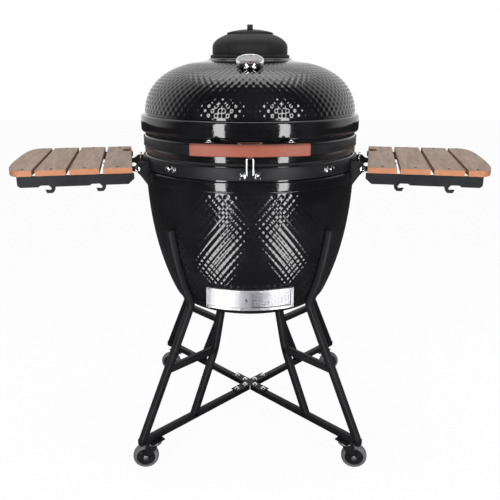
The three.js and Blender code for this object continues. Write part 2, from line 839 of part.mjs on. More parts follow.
function legFrame() {
  const offset = tube / 2 + hookGap;
  const hook = bowlOutside(offset, 7).filter(([, z]) => z > bendZ && z < hookTopZ);
  const hookLine = [[bendRadius, bendZ], ...hook];
  const foot = [footRadius, tubeCentreZ];
  const outer = [...hookLine.slice().reverse(), foot];
  const struts = [];
  for (let i = 1; i < outer.length; i += 1) {
    struts.push(strut(outer[i - 1], outer[i]));
  }
  const share = (bendZ - midBarZ) / (bendZ - tubeCentreZ);
  const midOuter = [bendRadius + (footRadius - bendRadius) * share, midBarZ];
  const inset = tube / 2 + seat * 2;
  const base = box(inset, footRadius, -tube / 2, tube / 2, tubeCentreZ - tube / 2, tubeCentreZ + tube / 2);
  struts.push(base);
  struts.push(strut([innerFootRadius, tubeCentreZ], [midJointRadius, midBarZ]));
  struts.push(strut([midJointRadius, midBarZ], midOuter));
  const propTop = bowlBottomZ - seat;
  const prop = strut([midJointRadius, midBarZ], [propTopRadius, propTop + tube]);
  struts.push(cut(prop, box(0, rimRadius, -tube, tube, propTop, propTop + tube * 2)));
  const padTop = tubeCentreZ - tube / 2 + 1;
  struts.push(box(casterRadius - padSize / 2, casterRadius + padSize / 2, -padSize / 2, padSize / 2,
    padTop - 1 - padThickness, padTop));
  return join(...struts);
}

function crossPlate() {
  const z = tubeCentreZ + tube / 2 + seat;
  const [arm, half] = [crossArm, crossWidth / 2];
  const shape = new THREE.Shape([
    [arm, -half], [arm, half], [half, half], [half, arm], [-half, arm], [-half, half],
    [-arm, half], [-arm, -half], [-half, -half], [-half, -arm], [half, -arm], [half, -half],
  ].map(([x, y]) => new THREE.Vector2(x, y)));
  const options = { depth: crossThickness, bevelEnabled: false };
  return new THREE.ExtrudeGeometry(shape, options).rotateZ(Math.PI / 4).translate(0, 0, z);
}

// ---- casters, built about the swivel axis with the wheel trailing along +X --------------------

const padBottomZ = tubeCentreZ - tube / 2 - padThickness;
const axleZ = wheelDiameter / 2;

function casterFork() {
  const crownTop = padBottomZ - runningGap;
  const crownPart = rod('z', crownRadius, crownThickness, [0, 0, crownTop - crownThickness / 2]);
  const inside = wheelWidth / 2 + 1.5;
  const profile = [
    [-crownRadius + 4, crownTop], [crownRadius, crownTop], [casterTrail + 9, axleZ + 4],
    [casterTrail + 4, axleZ - 8], [casterTrail - 6, axleZ - 8], [casterTrail - 16, axleZ + 6],
  ];
  const cheeks = [-1, 1].map((side) => plateXZ(profile, forkPlate, side * (inside + forkPlate / 2)));
  const bridge = box(-crownRadius + 4, crownRadius, -inside - 1, inside + 1, crownTop - 4, crownTop);
  const axle = rod('y', wheelBore - runningGap, inside * 2 + forkPlate * 2 + 4, [casterTrail, 0, axleZ], 12);
  return join(crownPart, bridge, axle, ...cheeks);
}

function casterWheel() {
  const radius = wheelDiameter / 2;
  const half = wheelWidth / 2;
  const profile = [
    [wheelBore, -half], [12, -half], [14, -half + 5], [radius - 12, -half + 5], [radius - 9, -half],
    [radius - 4, -half], [radius, -half + 8], [radius, half - 8], [radius - 4, half], [radius - 9, half],
    [radius - 12, half - 5], [14, half - 5], [12, half], [wheelBore, half], [wheelBore, -half],
  ];
  return turned(profile, 18).rotateX(Math.PI / 2).translate(casterTrail, 0, axleZ);
}

// ---- side tables, built for the right side with X outwards and Y to the rear -------------------

const slatBottomZ = tableTopZ - slatThickness;
const pivotZ = tableTopZ - pivotDrop;
const tableRear = tableShift + slatLength / 2;
const tableFront = tableShift - slatLength / 2;
const tableEnd = slatStart + slatPitch * (slatCount - 1) + endSlatWidth - endBulge;

function slat(index) {
  const x0 = slatStart + slatPitch * index;
  if (index < slatCount - 1) {
    const plank = box(x0, x0 + slatWidth, tableFront, tableRear, slatBottomZ, tableTopZ);
    const notch = rod('z', notchRadius, slatThickness * 3, [x0, tableRear - notchRadius * 3, tableTopZ]);
    return index === 0 ? cut(plank, notch) : plank;
  }
  const x1 = x0 + endSlatWidth;
  const half = slatLength / 2;
  const shape = new THREE.Shape();
  shape.moveTo(x0, tableFront);
  shape.lineTo(x1 - endBulge, tableFront);
  shape.bezierCurveTo(x1 - 8, tableFront + 14, x1, tableShift - half * 0.7, x1, tableShift);
  shape.bezierCurveTo(x1, tableShift + half * 0.7, x1 - 8, tableRear - 14, x1 - endBulge, tableRear);
  shape.lineTo(x0, tableRear);
  shape.closePath();
  const options = { depth: slatThickness, bevelEnabled: false, curveSegments: 8 };
  return new THREE.ExtrudeGeometry(shape, options).translate(0, 0, slatBottomZ);
}

// A plate along one end of the slats, with two hooks that open outwards.
function hookRail(y) {
  const top = slatBottomZ - seat;
  const low = top - railHeight;
  const from = slatStart - 4;
  const to = tableEnd;
  const span = (to - from) / 3;
  const points = [[from, top], [from, low + 14], [from + 16, low]];
  for (const start of [from + span * 0.75, from + span * 2.05]) {
    points.push(
      [start, low], [start + 2, low - hookDepth * 0.6], [start + 8, low - hookDepth],
      [start + hookLength, low - hookDepth], [start + hookLength + 4, low - hookDepth * 0.45],
      [start + hookLength, low - hookDepth * 0.45], [start + 12, low - hookDepth * 0.5],
      [start + 10, low - 3], [start + 16, low + 4], [start + hookLength + 14, low + 4],
      [start + hookLength + 20, low],
    );
  }
  points.push([to - 6, low], [to, low + 6], [to, top]);
  return plateXZ(points, railThickness, y);
}

function tableFrame() {
  const top = slatBottomZ - seat;
  const arms = [-1, 1].map((side) => {
    const middle = side * (armOffset + armThickness + 1);
    const arm = box(pivotReach, slatStart + 26, middle - armThickness / 2, middle + armThickness / 2,
      pivotZ - pivotEye, top);
    const eye = rod('y', pivotEye, armThickness, [pivotReach, middle, pivotZ]);
    return join(arm, eye);
  });
  const rear = tableRear - railInset;
  const front = tableFront + railInset;
  const bars = [slatStart + 18, tableEnd - crossBarWidth].map((x) => (
    box(x, x + crossBarWidth, front, rear, top - crossBarHeight, top)
  ));
  const bore = rod('y', pivotRadius + seat, armOffset * 4, [pivotReach, 0, pivotZ]);
  return cut(join(...bars, hookRail(front), hookRail(rear), ...arms), bore);
}

function tableBracket() {
  const inner = bowlBandOuter + seat;
  const half = armOffset + armThickness / 2;
  const saddle = common(
    ring(inner, inner + 4, bowlBandZ + 1, bowlBandZ + bowlBandHeight - 1, fine * 2),
    box(0, rimRadius * 2, -half, half, 0, seamZ),
  );
  const top = tableTopZ - slatThickness + 10;
  const profile = [
    [inner - 30, top], [pivotReach - 4, top], [pivotReach + pivotEye, pivotZ + 4],
    [pivotReach + pivotEye, pivotZ - 5], [pivotReach - 8, pivotZ - 22], [inner - 14, pivotZ - gussetDrop],
    [inner - 30, pivotZ - gussetDrop],
  ];
  const skin = bowlSide.radius + ringProud + seat;
  const drum = turned([[0, bowlBottomZ], [skin, bowlBottomZ], [skin, seamZ], [0, seamZ]], fine * 2);
  const gussets = [-1, 1].map((side) => {
    const plate = plateXZ(profile, armThickness, side * armOffset);
    const reach = armThickness * 2.5 + 2;
    const stud = rod('y', pivotRadius, reach, [pivotReach, side * (armOffset + reach / 2 - 1), pivotZ], 12);
    return join(cut(plate, drum), stud);
  });
  return join(saddle, ...gussets);
}

// ---- assembly ----------------------------------------------------------------------------------

add('bowl', bowl(), glaze());
add('firebox', firebox(), fireClay());
add('fire_ring', fireRing(), fireClay());
add('charcoal_grate', grate(ledgeOuter - 4, ledgeZ + seat, ashSlotPitch, grateBarWidth * 1.6), castIron());
add('cooking_grate', grate(fireboxTopRadius + 8, cookingZ, grateSlotPitch, grateBarWidth), brushed());
const gasketOuter = rimRadius - gasketInset;
const gasketInner = rimRadius - ceramicWall + gasketInset;
add('bowl_gasket', ring(gasketInner, gasketOuter, bowlRimZ + seat, seamZ - seat / 2), felt());
add('lid_gasket', ring(gasketInner, gasketOuter, seamZ + seat / 2, lidRimZ - seat), felt());
add('bowl_band', ring(bowlBandInner, bowlBandOuter, bowlBandZ, bowlBandZ + bowlBandHeight), blackSteel());
add('lid', lid(), glaze());
add('lid_band', ring(lidBandInner, lidBandOuter, lidBandZ, lidBandZ + lidBandHeight), blackSteel());
add('hinge_base', hingeBase(), blackSteel());
add('hinge_arm', hingeArm(), blackSteel());
add('hinge_pin', hingePin(), brushed());
add('handle_bar', handleBar(), redWood());
add('latch_bracket', latchBracket(), chrome());
add('latch_bail', latchBail(), chrome());
add('lid_catch', lidCatch(), chrome());
add('thermometer_case', thermometerCase(), chrome());
add('thermometer_needle', thermometerNeedle(), blackSteel());
add('thermometer_glass', thermometerGlass(), glass());
add('damper_base', damperBase(), castIron());
add('damper_dome', damperDome(), castIron());
add('daisy_wheel', daisyWheel(), castIron());
add('draft_frame', draftFrame(), brushed());
const panelReach = draftHalfAngle - 1.1;
add('draft_door', draftPanel(draftRadius - draftFace - 0.8, -panelReach, panelLap), brushed());
add('draft_screen', draftPanel(draftRadius - draftFace - 2.8, -panelLap, panelReach), brushed());
add('cross_plate', crossPlate(), blackSteel());

for (const [name, side] of [['left', -1], ['right', 1]]) {
  add(`hinge_spring_${name}`, hingeSpring(side), brushed());
  add(`handle_post_${name}`, handlePost(side), blackSteel());
  add(`band_clamp_${name}`, bandClamp(), chrome()).rotation.z = radians(side * clampAzimuth);
  const table = new THREE.Group();
  table.rotation.z = radians(-side * tableSweep);
  addTo(table, `table_bracket_${name}`, tableBracket().scale(side, 1, 1), blackSteel());
  addTo(table, `table_frame_${name}`, tableFrame().scale(side, 1, 1), blackSteel());
  for (let i = 0; i < slatCount; i += 1) {
    addTo(table, `slat_${name}_${i + 1}`, slat(i).scale(side, 1, 1), slatWood());
  }
  grill.add(table);
}

const corners = [
  { name: 'front_left', azimuth: 225, trail: 186 },
  { name: 'front_right', azimuth: 315, trail: -8 },
  { name: 'rear_left', azimuth: 135, trail: 170 },
  { name: 'rear_right', azimuth: 45, trail: 12 },
];
for (const { name, azimuth, trail } of corners) {
  add(`leg_frame_${name}`, legFrame(), blackSteel()).rotation.z = radians(azimuth);
  const caster = new THREE.Group();
  caster.rotation.z = radians(trail);
  caster.position.set(casterRadius * Math.cos(radians(azimuth)), casterRadius * Math.sin(radians(azimuth)), 0);
  addTo(caster, `caster_fork_${name}`, casterFork(), blackSteel());
  addTo(caster, `caster_wheel_${name}`, casterWheel(), rubber());
  grill.add(caster);
}

export default grill;
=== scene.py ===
"""Kamado ceramic grill: the detailed visual model, built around the packed frame."""

import json
from functools import lru_cache
from math import atan2, cos, hypot, pi, radians, sin, sqrt

import bmesh
import bpy
from bpy.props import FloatProperty, FloatVectorProperty, IntProperty, PointerProperty
from mathutils import Matrix, Vector


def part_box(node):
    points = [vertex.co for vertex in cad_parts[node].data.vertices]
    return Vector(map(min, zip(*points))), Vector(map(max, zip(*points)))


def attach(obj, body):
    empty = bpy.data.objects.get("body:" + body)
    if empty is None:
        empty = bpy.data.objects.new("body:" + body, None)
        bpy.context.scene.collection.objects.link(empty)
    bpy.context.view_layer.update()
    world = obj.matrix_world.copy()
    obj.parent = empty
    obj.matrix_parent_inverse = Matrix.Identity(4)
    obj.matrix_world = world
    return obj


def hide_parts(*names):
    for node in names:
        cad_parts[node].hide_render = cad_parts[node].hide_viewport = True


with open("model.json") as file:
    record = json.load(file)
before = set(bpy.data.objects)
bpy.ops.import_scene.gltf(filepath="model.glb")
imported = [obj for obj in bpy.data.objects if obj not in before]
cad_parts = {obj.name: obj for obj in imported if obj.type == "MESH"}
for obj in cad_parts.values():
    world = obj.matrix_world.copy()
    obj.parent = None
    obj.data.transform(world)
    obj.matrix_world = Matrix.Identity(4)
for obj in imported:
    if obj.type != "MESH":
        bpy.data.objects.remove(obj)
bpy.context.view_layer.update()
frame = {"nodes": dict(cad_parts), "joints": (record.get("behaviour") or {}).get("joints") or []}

bl_info = {
    "name": "Kamado Ceramic Grill",
    "version": (1, 0, 0),
    "blender": (4, 5, 0),
    "location": "View3D > Sidebar > Kamado",
    "description": "Builds a ceramic charcoal grill with side tables on a wheeled stand",
    "category": "Add Mesh",
}

NODES = frame["nodes"]
JOINTS = {joint["name"]: joint for joint in frame["joints"]}
MM = 0.001
SIDES = {"left": -1, "right": 1}
CORNERS = {"front_left": 225, "front_right": 315, "rear_left": 135, "rear_right": 45}


def size(name, description, default):
    """A length in metres that the panel shows."""
    return FloatProperty(name=name, description=description, default=default, unit="LENGTH", precision=4)


def tint(name, description, default):
    """A colour that the panel shows."""
    return FloatVectorProperty(name=name, description=description, default=default, subtype="COLOR", size=3)


class CeramicSettings(bpy.types.PropertyGroup):
    """Sizes of the glazed body."""

    wall: size("Wall", "Thickness of the ceramic", 0.025)
    dimples_round: IntProperty(name="Dimples round", description="Dimples in one row round the body",
                               default=96)
    dimple_rise: size("Dimple rise", "Distance from one row of dimples to the next", 0.0117)
    dimple_depth: size("Dimple depth", "Height of the dimples' relief", 0.0009)
    turn_steps: IntProperty(name="Steps", description="Facets round the body", default=480)
    glaze: tint("Glaze", "Colour of the glaze", (0.0035, 0.0035, 0.0042))


class MetalSettings(bpy.types.PropertyGroup):
    """Sizes and colours of the metal parts."""

    band_thickness: size("Band", "Thickness of the steel bands", 0.0032)
    coat: tint("Coat", "Colour of the powder coat", (0.005, 0.0052, 0.0065))
    iron: tint("Iron", "Colour of the cast iron", (0.008, 0.008, 0.0085))
    chrome: tint("Chrome", "Colour of the chrome", (0.78, 0.79, 0.81))
    steel: tint("Stainless", "Colour of the brushed steel", (0.5, 0.5, 0.53))
    wire: size("Wire", "Diameter of the latch wire", 0.005)


class WoodSettings(bpy.types.PropertyGroup):
    """Colours of the two woods."""

    handle: tint("Handle", "Colour of the handle", (0.23, 0.052, 0.026))
    handle_dark: tint("Handle grain", "Colour of the grain of the handle", (0.1, 0.022, 0.012))
    slat: tint("Slats", "Colour of the slats", (0.34, 0.215, 0.145))
    slat_dark: tint("Slat grain", "Colour of the grain of the slats", (0.2, 0.115, 0.075))
    edge: tint("Slat ends", "Colour of the end grain", (0.36, 0.13, 0.05))


class StandSettings(bpy.types.PropertyGroup):
    """Sizes of the stand."""

    tube: size("Tube", "Width of the square tube", 0.02)
    tube_round: size("Tube corner", "Corner radius of the square tube", 0.003)
    bolt: size("Bolt", "Radius of the bolt heads on the cross plate", 0.0055)


class StageSettings(bpy.types.PropertyGroup):
    """Camera and lights."""

    distance: size("Distance", "Distance of the camera in front of the middle", 1.741)
    height: size("Height", "Height of the camera", 1.147)
    pitch: FloatProperty(name="Pitch", description="Angle that the camera looks down", default=radians(17.64),
                         subtype="ANGLE")
    lens: FloatProperty(name="Lens", description="Focal length in millimetres", default=41.1)
    softbox: FloatProperty(name="Softbox", description="Power of each softbox", default=40.0)
    strip: FloatProperty(name="Strip", description="Power of each low lamp in front", default=11.0)
    fill: FloatProperty(name="Fill", description="Power of the top light", default=25.0)


# ---- mesh helpers -----------------------------------------------------------------------------

def curve(start, lead, trail, end, count):
    """Points along a cubic curve, both ends included."""
    points = []
    for i in range(count + 1):
        t = i / count
        weights = ((1 - t) ** 3, 3 * t * (1 - t) ** 2, 3 * t * t * (1 - t), t ** 3)
        points.append(tuple(sum(w * p[k] for w, p in zip(weights, (start, lead, trail, end))) for k in (0, 1)))
    return points


def turn(bm, outline, steps, sweep_angle=2 * pi, start=0.0, close=False):
    """Spins an outline of (radius, height) points about Z; returns the new vertices."""
    before = set(bm.verts)
    verts = [bm.verts.new((r * cos(start), r * sin(start), z)) for r, z in outline]
    pairs = list(zip(verts, verts[1:]))
    if close:
        pairs.append((verts[-1], verts[0]))
    edges = [bm.edges.new(pair) for pair in pairs]
    full = abs(sweep_angle - 2 * pi) < 1e-6
    bmesh.ops.spin(bm, geom=verts + edges, cent=(0, 0, 0), axis=(0, 0, 1), angle=sweep_angle, steps=steps,
                   use_merge=full, use_duplicate=False)
    made = [v for v in bm.verts if v not in before]
    bmesh.ops.remove_doubles(bm, verts=made, dist=1e-6)
    made = [v for v in bm.verts if v not in before]
    if not full and close:
        rims = [e for v in made for e in v.link_edges if e.is_boundary]
        bmesh.ops.holes_fill(bm, edges=list(set(rims)), sides=0)
    return made


def section_frame(point, ahead, side, stretch=1.0):
    """A matrix whose Z runs along a path and whose X is as near to side as it can be."""
    along = ahead.normalized()
    across = (side - along * side.dot(along)).normalized()
    third = along.cross(across)
    matrix = Matrix((across, third * stretch, along)).transposed().to_4x4()
    matrix.translation = point
    return matrix


def sweep(bm, path, outline, side):
    """Carries a closed outline of (across, third) points along a path, and caps its ends."""
    points = [Vector(p) for p in path]
    side = Vector(side)
    matrices = []
    for i, point in enumerate(points):
        before = (point - points[max(i - 1, 0)]).normalized()
        after = (points[min(i + 1, len(points) - 1)] - point).normalized()
        ahead = before + after
        cosine = 1.0 if i in (0, len(points) - 1) else max(ahead.length / 2, 0.4)
        matrices.append(section_frame(point, ahead, side, 1 / cosine))
    verts = [bm.verts.new(matrices[0] @ Vector((a, b, 0))) for a, b in outline]
    edges = [bm.edges.new(pair) for pair in zip(verts, verts[1:] + verts[:1])]
    ends = [edges]
    everything = list(verts)
    for last, here in zip(matrices, matrices[1:]):
        made = bmesh.ops.extrude_edge_only(bm, edges=edges)["geom"]
        verts = [g for g in made if isinstance(g, bmesh.types.BMVert)]
        edges = [g for g in made if isinstance(g, bmesh.types.BMEdge) and all(v in verts for v in g.verts)]
        bmesh.ops.transform(bm, matrix=here @ last.inverted(), verts=verts)
        everything += verts
    ends.append(edges)
    for rim in ends:
        bmesh.ops.edgeloop_fill(bm, edges=rim)
    return everything


def round_section(radius, sides=12):
    """The outline of a round wire."""
    return [(radius * cos(2 * pi * i / sides), radius * sin(2 * pi * i / sides)) for i in range(sides)]


def square_section(width, corner, steps=3):
    """The outline of a square tube with rounded corners."""
    half = width / 2 - corner
    points = []
    for quarter in range(4):
        cx = half * (1 if quarter in (0, 3) else -1)
        cy = half * (1 if quarter in (0, 1) else -1)
        for i in range(steps + 1):
            angle = pi / 2 * (quarter + i / steps)
            points.append((cx + corner * cos(angle), cy + corner * sin(angle)))
    return points


def rounded_path(points, radius, steps=6):
    """A path whose inner corners are rounded."""
    vectors = [Vector(p) for p in points]
    path = [vectors[0]]
    for last, corner, after in zip(vectors, vectors[1:], vectors[2:]):
        back = (last - corner).normalized()
        on = (after - corner).normalized()
        reach = min(radius, (last - corner).length * 0.45, (after - corner).length * 0.45)
        start, end = corner + back * reach, corner + on * reach
        for i in range(steps + 1):
            t = i / steps
            path.append(start * (1 - t) ** 2 + corner * 2 * t * (1 - t) + end * t * t)
    path.append(vectors[-1])
    return path


def block(bm, low, high, radius=0.0, segments=2):
    """A box between two corners with rounded edges; returns its vertices."""
    before = set(bm.verts)
    bmesh.ops.create_cube(bm, size=1.0)
    verts = [v for v in bm.verts if v not in before]
    span = [b - a for a, b in zip(low, high)]
    middle = [(a + b) / 2 for a, b in zip(low, high)]
    bmesh.ops.scale(bm, vec=span, verts=verts)
    bmesh.ops.translate(bm, vec=middle, verts=verts)
    if radius:
        edges = list({e for v in verts for e in v.link_edges})
        bmesh.ops.bevel(bm, geom=edges, offset=radius, offset_type="OFFSET", segments=segments, profile=0.5,
                        affect="EDGES", material=-1)
    return [v for v in bm.verts if v not in before]


def place(bm, verts, point, normal):
    """Moves vertices made about the origin so that Z points along normal at a point."""
    turned = Vector((0, 0, 1)).rotation_difference(Vector(normal)).to_matrix().to_4x4()
    bmesh.ops.transform(bm, matrix=Matrix.Translation(Vector(point)) @ turned, verts=verts)


def dome_bolt(bm, point, normal, radius, height=None):
    """A domed bolt head on a washer."""
    rise = height or radius * 0.7
    outline = [(0, rise), (radius * 0.45, rise * 0.94), (radius * 0.78, rise * 0.7),
               (radius * 0.95, rise * 0.34),
               (radius, 0.0012), (radius * 1.35, 0.0012), (radius * 1.42, 0.0006), (radius * 1.42, 0), (0, 0)]
    place(bm, turn(bm, outline, 20), point, normal)


def hex_bolt(bm, point, normal, radius, height):
    """A six-sided bolt head on a washer."""
    before = set(bm.verts)
    bmesh.ops.create_cone(bm, cap_ends=True, segments=6, radius1=radius, radius2=radius, depth=height)
    head = [v for v in bm.verts if v not in before]
    bmesh.ops.translate(bm, vec=(0, 0, height / 2 + 0.001), verts=head)
    edges = list({e for v in head for e in v.link_edges})
    bmesh.ops.bevel(bm, geom=edges, offset=radius * 0.1, offset_type="OFFSET", segments=2, profile=0.5,
                    affect="EDGES", material=-1)
    turn(bm, [(0, 0.001), (radius * 1.4, 0.001), (radius * 1.4, 0), (0, 0)], 20)
    place(bm, [v for v in bm.verts if v not in before], point, normal)


def about_z(bm, verts, angle):
    """Turns vertices about the vertical axis."""
    bmesh.ops.rotate(bm, verts=verts, cent=(0, 0, 0), matrix=Matrix.Rotation(angle, 3, "Z"))


def make_piece(name, bm, material, body, replaces=(), sharp=32.0):
    """Turns a bmesh into a piece that rides on a body."""
    bmesh.ops.recalc_face_normals(bm, faces=bm.faces)
    mesh = bpy.data.meshes.new(name)
    bm.to_mesh(mesh)
    bm.free()
    mesh.shade_smooth()
    mesh.set_sharp_from_angle(angle=radians(sharp))
    piece = bpy.data.objects.new(name, mesh)
    bpy.context.scene.collection.objects.link(piece)
    mesh.materials.append(material)
    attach(piece, body)
    if replaces:
        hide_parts(*replaces)
    return piece


def dress(node, material, round_edge=0.0):
    """Gives a CAD node its finish and, where it has edges to ease, a small bevel."""
    piece = NODES[node]
    piece.data.materials.clear()
    piece.data.materials.append(material)
    if round_edge:
        weld = piece.modifiers.new("Weld", "WELD")
        weld.merge_threshold = 1e-5
        bevel = piece.modifiers.new("Bevel", "BEVEL")
        bevel.width = round_edge
        bevel.segments = 2
        bevel.limit_method = "ANGLE"
        bevel.angle_limit = radians(35)
        bevel.harden_normals = False


# ---- materials --------------------------------------------------------------------------------

class Signal:
    """A shader socket that takes Python arithmetic."""

    def __init__(self, shader, socket):
        self.shader = shader
        self.socket = socket

    def _math(self, operation, first, second):
        return self.shader.node("ShaderNodeMath", {"operation": operation}, {0: first, 1: second})

    def __add__(self, other):
        return self._math("ADD", self, other)

    def __radd__(self, other):
        return self._math("ADD", other, self)

    def __sub__(self, other):
        return self._math("SUBTRACT", self, other)

    def __rsub__(self, other):
        return self._math("SUBTRACT", other, self)

    def __mul__(self, other):
        return self._math("MULTIPLY", self, other)

    def __rmul__(self, other):
        return self._math("MULTIPLY", other, self)

    def __pow__(self, other):
        return self._math("POWER", self, other)

    def above(self, low, high):
        """0 below low, 1 above high and smooth between."""
        return self.shader.node("ShaderNodeMapRange", {"interpolation_type": "SMOOTHSTEP"},
                                {"Value": self, "From Min": low, "From Max": high})


class Shader:
    """A node material that is filled in by expressions."""

    def __init__(self, name):
        self.material = bpy.data.materials.new(name)
        self.material.use_nodes = True
        self.tree = self.material.node_tree
        self.tree.nodes.clear()

    def node(self, kind, settings, inputs, output=0):
        """Adds a node, sets its properties, then its inputs, and returns one of its outputs."""
        made = self.tree.nodes.new(kind)
        for key, value in settings.items():
            setattr(made, key, value)
        for key, value in inputs.items():
            socket = made.inputs[key]
            if isinstance(value, Signal):
                self.tree.links.new(value.socket, socket)
            else:
                socket.default_value = value
        return Signal(self, made.outputs[output]) if made.outputs else None

    def place(self, scale=(1, 1, 1), turned=0.0):
        """Object coordinates, turned about Z and scaled."""
        here = self.node("ShaderNodeTexCoord", {}, {}, "Object")
        if turned:
            here = self.node("ShaderNodeMapping", {}, {"Vector": here, "Rotation": (0, 0, turned)})
        return self.node("ShaderNodeMapping", {}, {"Vector": here, "Scale": scale})

    def noise(self, where, scale, detail=3.0, roughness=0.5):
        """A noise value from 0 to 1."""
        return self.node("ShaderNodeTexNoise", {}, {"Vector": where, "Scale": scale, "Detail": detail,
                                                    "Roughness": roughness})

    def mix(self, factor, first, second):
        """A colour between two colours."""
        made = self.tree.nodes.new("ShaderNodeMix")
        made.data_type = "RGBA"
        for key, value in ((0, factor), (6, first), (7, second)):
            if isinstance(value, Signal):
                self.tree.links.new(value.socket, made.inputs[key])
            elif key == 0:
                made.inputs[key].default_value = value
            else:
                made.inputs[key].default_value = (*value[:3], 1)
        return Signal(self, made.outputs[2])

    def bump(self, height, distance, strength=1.0):
        """A bumped normal from a height from 0 to 1."""
        return self.node("ShaderNodeBump", {}, {"Height": height, "Distance": distance, "Strength": strength})

    def finish(self, **inputs):
        """The principled surface; names are the socket names with underscores."""
        values = {key.replace("_", " "): value for key, value in inputs.items()}
        values = {key: (*value, 1) if isinstance(value, tuple) and len(value) == 3 else value
                  for key, value in values.items()}
        surface = self.node("ShaderNodeBsdfPrincipled", {}, values)
        self.node("ShaderNodeOutputMaterial", {}, {"Surface": surface})
        return self.material


def scaled(colour, factor):
    """A colour made darker or lighter."""
    return tuple(min(1.0, c * factor) for c in colour)


def glaze_material(name, colour):
    """Glossy black glaze with a faint orange peel, smears and pinholes."""
    s = Shader(name)
    here = s.place()
    cloud = s.noise(here, 9.0, 4.0)
    peel = s.noise(here, 260.0, 2.0)
    specks = s.noise(here, 900.0, 1.0).above(0.68, 0.74)
    smear = s.noise(here, 38.0, 5.0, 0.65).above(0.42, 0.75)
    base = s.mix(cloud.above(0.35, 0.7), tuple(colour), scaled(colour, 2.2))
    base = s.mix(specks * 0.35, base, (0.03, 0.03, 0.032))
    rough = 0.055 + smear * 0.05 + specks * 0.12
    return s.finish(Base_Color=base, Roughness=rough, Normal=s.bump(peel * 0.7 + specks * 0.3, 0.00008),
                    Coat_Weight=0.15, Coat_Roughness=0.03, IOR=1.5)


def coat_material(name, colour):
    """Black powder coat with its fine pebble and light rubbed marks."""
    s = Shader(name)
    here = s.place()
    pebble = s.noise(here, 1400.0, 2.0)
    cloud = s.noise(here, 14.0, 4.0)
    rub = s.noise(s.place((1, 1, 6)), 55.0, 6.0, 0.7).above(0.6, 0.78)
    base = s.mix(cloud.above(0.3, 0.7), tuple(colour), scaled(colour, 1.7))
    base = s.mix(rub * 0.35, base, scaled(colour, 4.0))
    rough = 0.36 + cloud * 0.12 + pebble * 0.08 - rub * 0.06
    return s.finish(Base_Color=base, Roughness=rough, Normal=s.bump(pebble, 0.00012, 0.6), IOR=1.5,
                    Specular_IOR_Level=0.28)


def iron_material(name, colour):
    """Matte black cast iron with the grain of its sand mould."""
    s = Shader(name)
    here = s.place()
    grain = s.noise(here, 520.0, 4.0, 0.65)
    cloud = s.noise(here, 22.0, 4.0)
    base = s.mix(cloud.above(0.3, 0.75), tuple(colour), scaled(colour, 2.0))
    rough = 0.5 + cloud * 0.15 + grain * 0.08
    return s.finish(Base_Color=base, Roughness=rough, Normal=s.bump(grain, 0.0004, 0.8), IOR=1.5,
                    Specular_IOR_Level=0.28)


def chrome_material(name, colour):
    """Bright plated steel with faint smudges."""
    s = Shader(name)
    here = s.place()
    smudge = s.noise(here, 60.0, 4.0, 0.6).above(0.45, 0.75)
    ripple = s.noise(here, 240.0, 1.0)
    base = s.mix(smudge * 0.4, tuple(colour), scaled(colour, 0.86))
    return s.finish(Base_Color=base, Metallic=1.0, Roughness=0.05 + smudge * 0.1,
                    Normal=s.bump(ripple, 0.00003, 0.5))


def steel_material(name, colour, along=(900, 900, 14)):
    """Brushed stainless steel, brushed along the axis with the small scale."""
    s = Shader(name)
    brush = s.noise(s.place(along), 1.0, 5.0, 0.7)
    cloud = s.noise(s.place(), 30.0, 3.0)
    base = s.mix(brush.above(0.3, 0.7), scaled(colour, 0.82), scaled(colour, 1.2))
    base = s.mix(cloud.above(0.4, 0.8) * 0.25, base, scaled(colour, 0.7))
    rough = 0.3 + brush * 0.14 + cloud * 0.06
    return s.finish(Base_Color=base, Metallic=1.0, Roughness=rough, Normal=s.bump(brush, 0.00012, 0.7))


def wood_material(name, light, dark, edge, turned, along):
    """Oiled hardwood with long grain, pores and paler ends."""
    s = Shader(name)
    stretch = (9, 1.1, 9) if along == "Y" else (1.1, 9, 9)
    here = s.place(stretch, turned)
    wander = s.noise(here, 2.2, 3.0)
    rings = s.noise(here, 11.0, 6.0, 0.62)
    fibre_scale = (90, 5, 90) if along == "Y" else (5, 90, 90)
    pores = s.noise(s.place(fibre_scale, turned), 9.0, 3.0, 0.6).above(0.58, 0.72)
    figure = (rings * 0.75 + wander * 0.35).above(0.36, 0.72)
    base = s.mix(figure, tuple(light), tuple(dark))
    base = s.mix(pores * 0.45, base, scaled(dark, 0.55))
    facing = s.node("ShaderNodeSeparateXYZ", {}, {0: s.node("ShaderNodeTexCoord", {}, {}, "Normal")}, 1)
    ends = (facing * -1.0).above(0.55, 0.85)
    base = s.mix(ends * 0.8, base, tuple(edge))
    rough = 0.42 + pores * 0.2 + rings * 0.1
    return s.finish(Base_Color=base, Roughness=rough, Normal=s.bump(rings * 0.4 + pores * 0.6, 0.0003, 0.5),
                    IOR=1.48)


def plain_material(name, colour, rough, grain=400.0, depth=0.0002, metallic=0.0):
    """A simple material with a grain of its own."""
    s = Shader(name)
    here = s.place()
    fine = s.noise(here, grain, 3.0, 0.6)
    cloud = s.noise(here, 18.0, 4.0)
    base = s.mix(cloud.above(0.3, 0.75), scaled(colour, 0.78), scaled(colour, 1.2))
    return s.finish(Base_Color=base, Roughness=rough + fine * 0.12 - cloud * 0.05, Metallic=metallic,
                    Normal=s.bump(fine, depth, 0.7))


def lens_material(name):
    """The clear lens of the thermometer."""
    s = Shader(name)
    dust = s.noise(s.place(), 300.0, 3.0)
    return s.finish(Base_Color=(0.95, 0.97, 0.98), Roughness=0.02 + dust.above(0.55, 0.8) * 0.06,
                    Transmission_Weight=1.0, IOR=1.45)


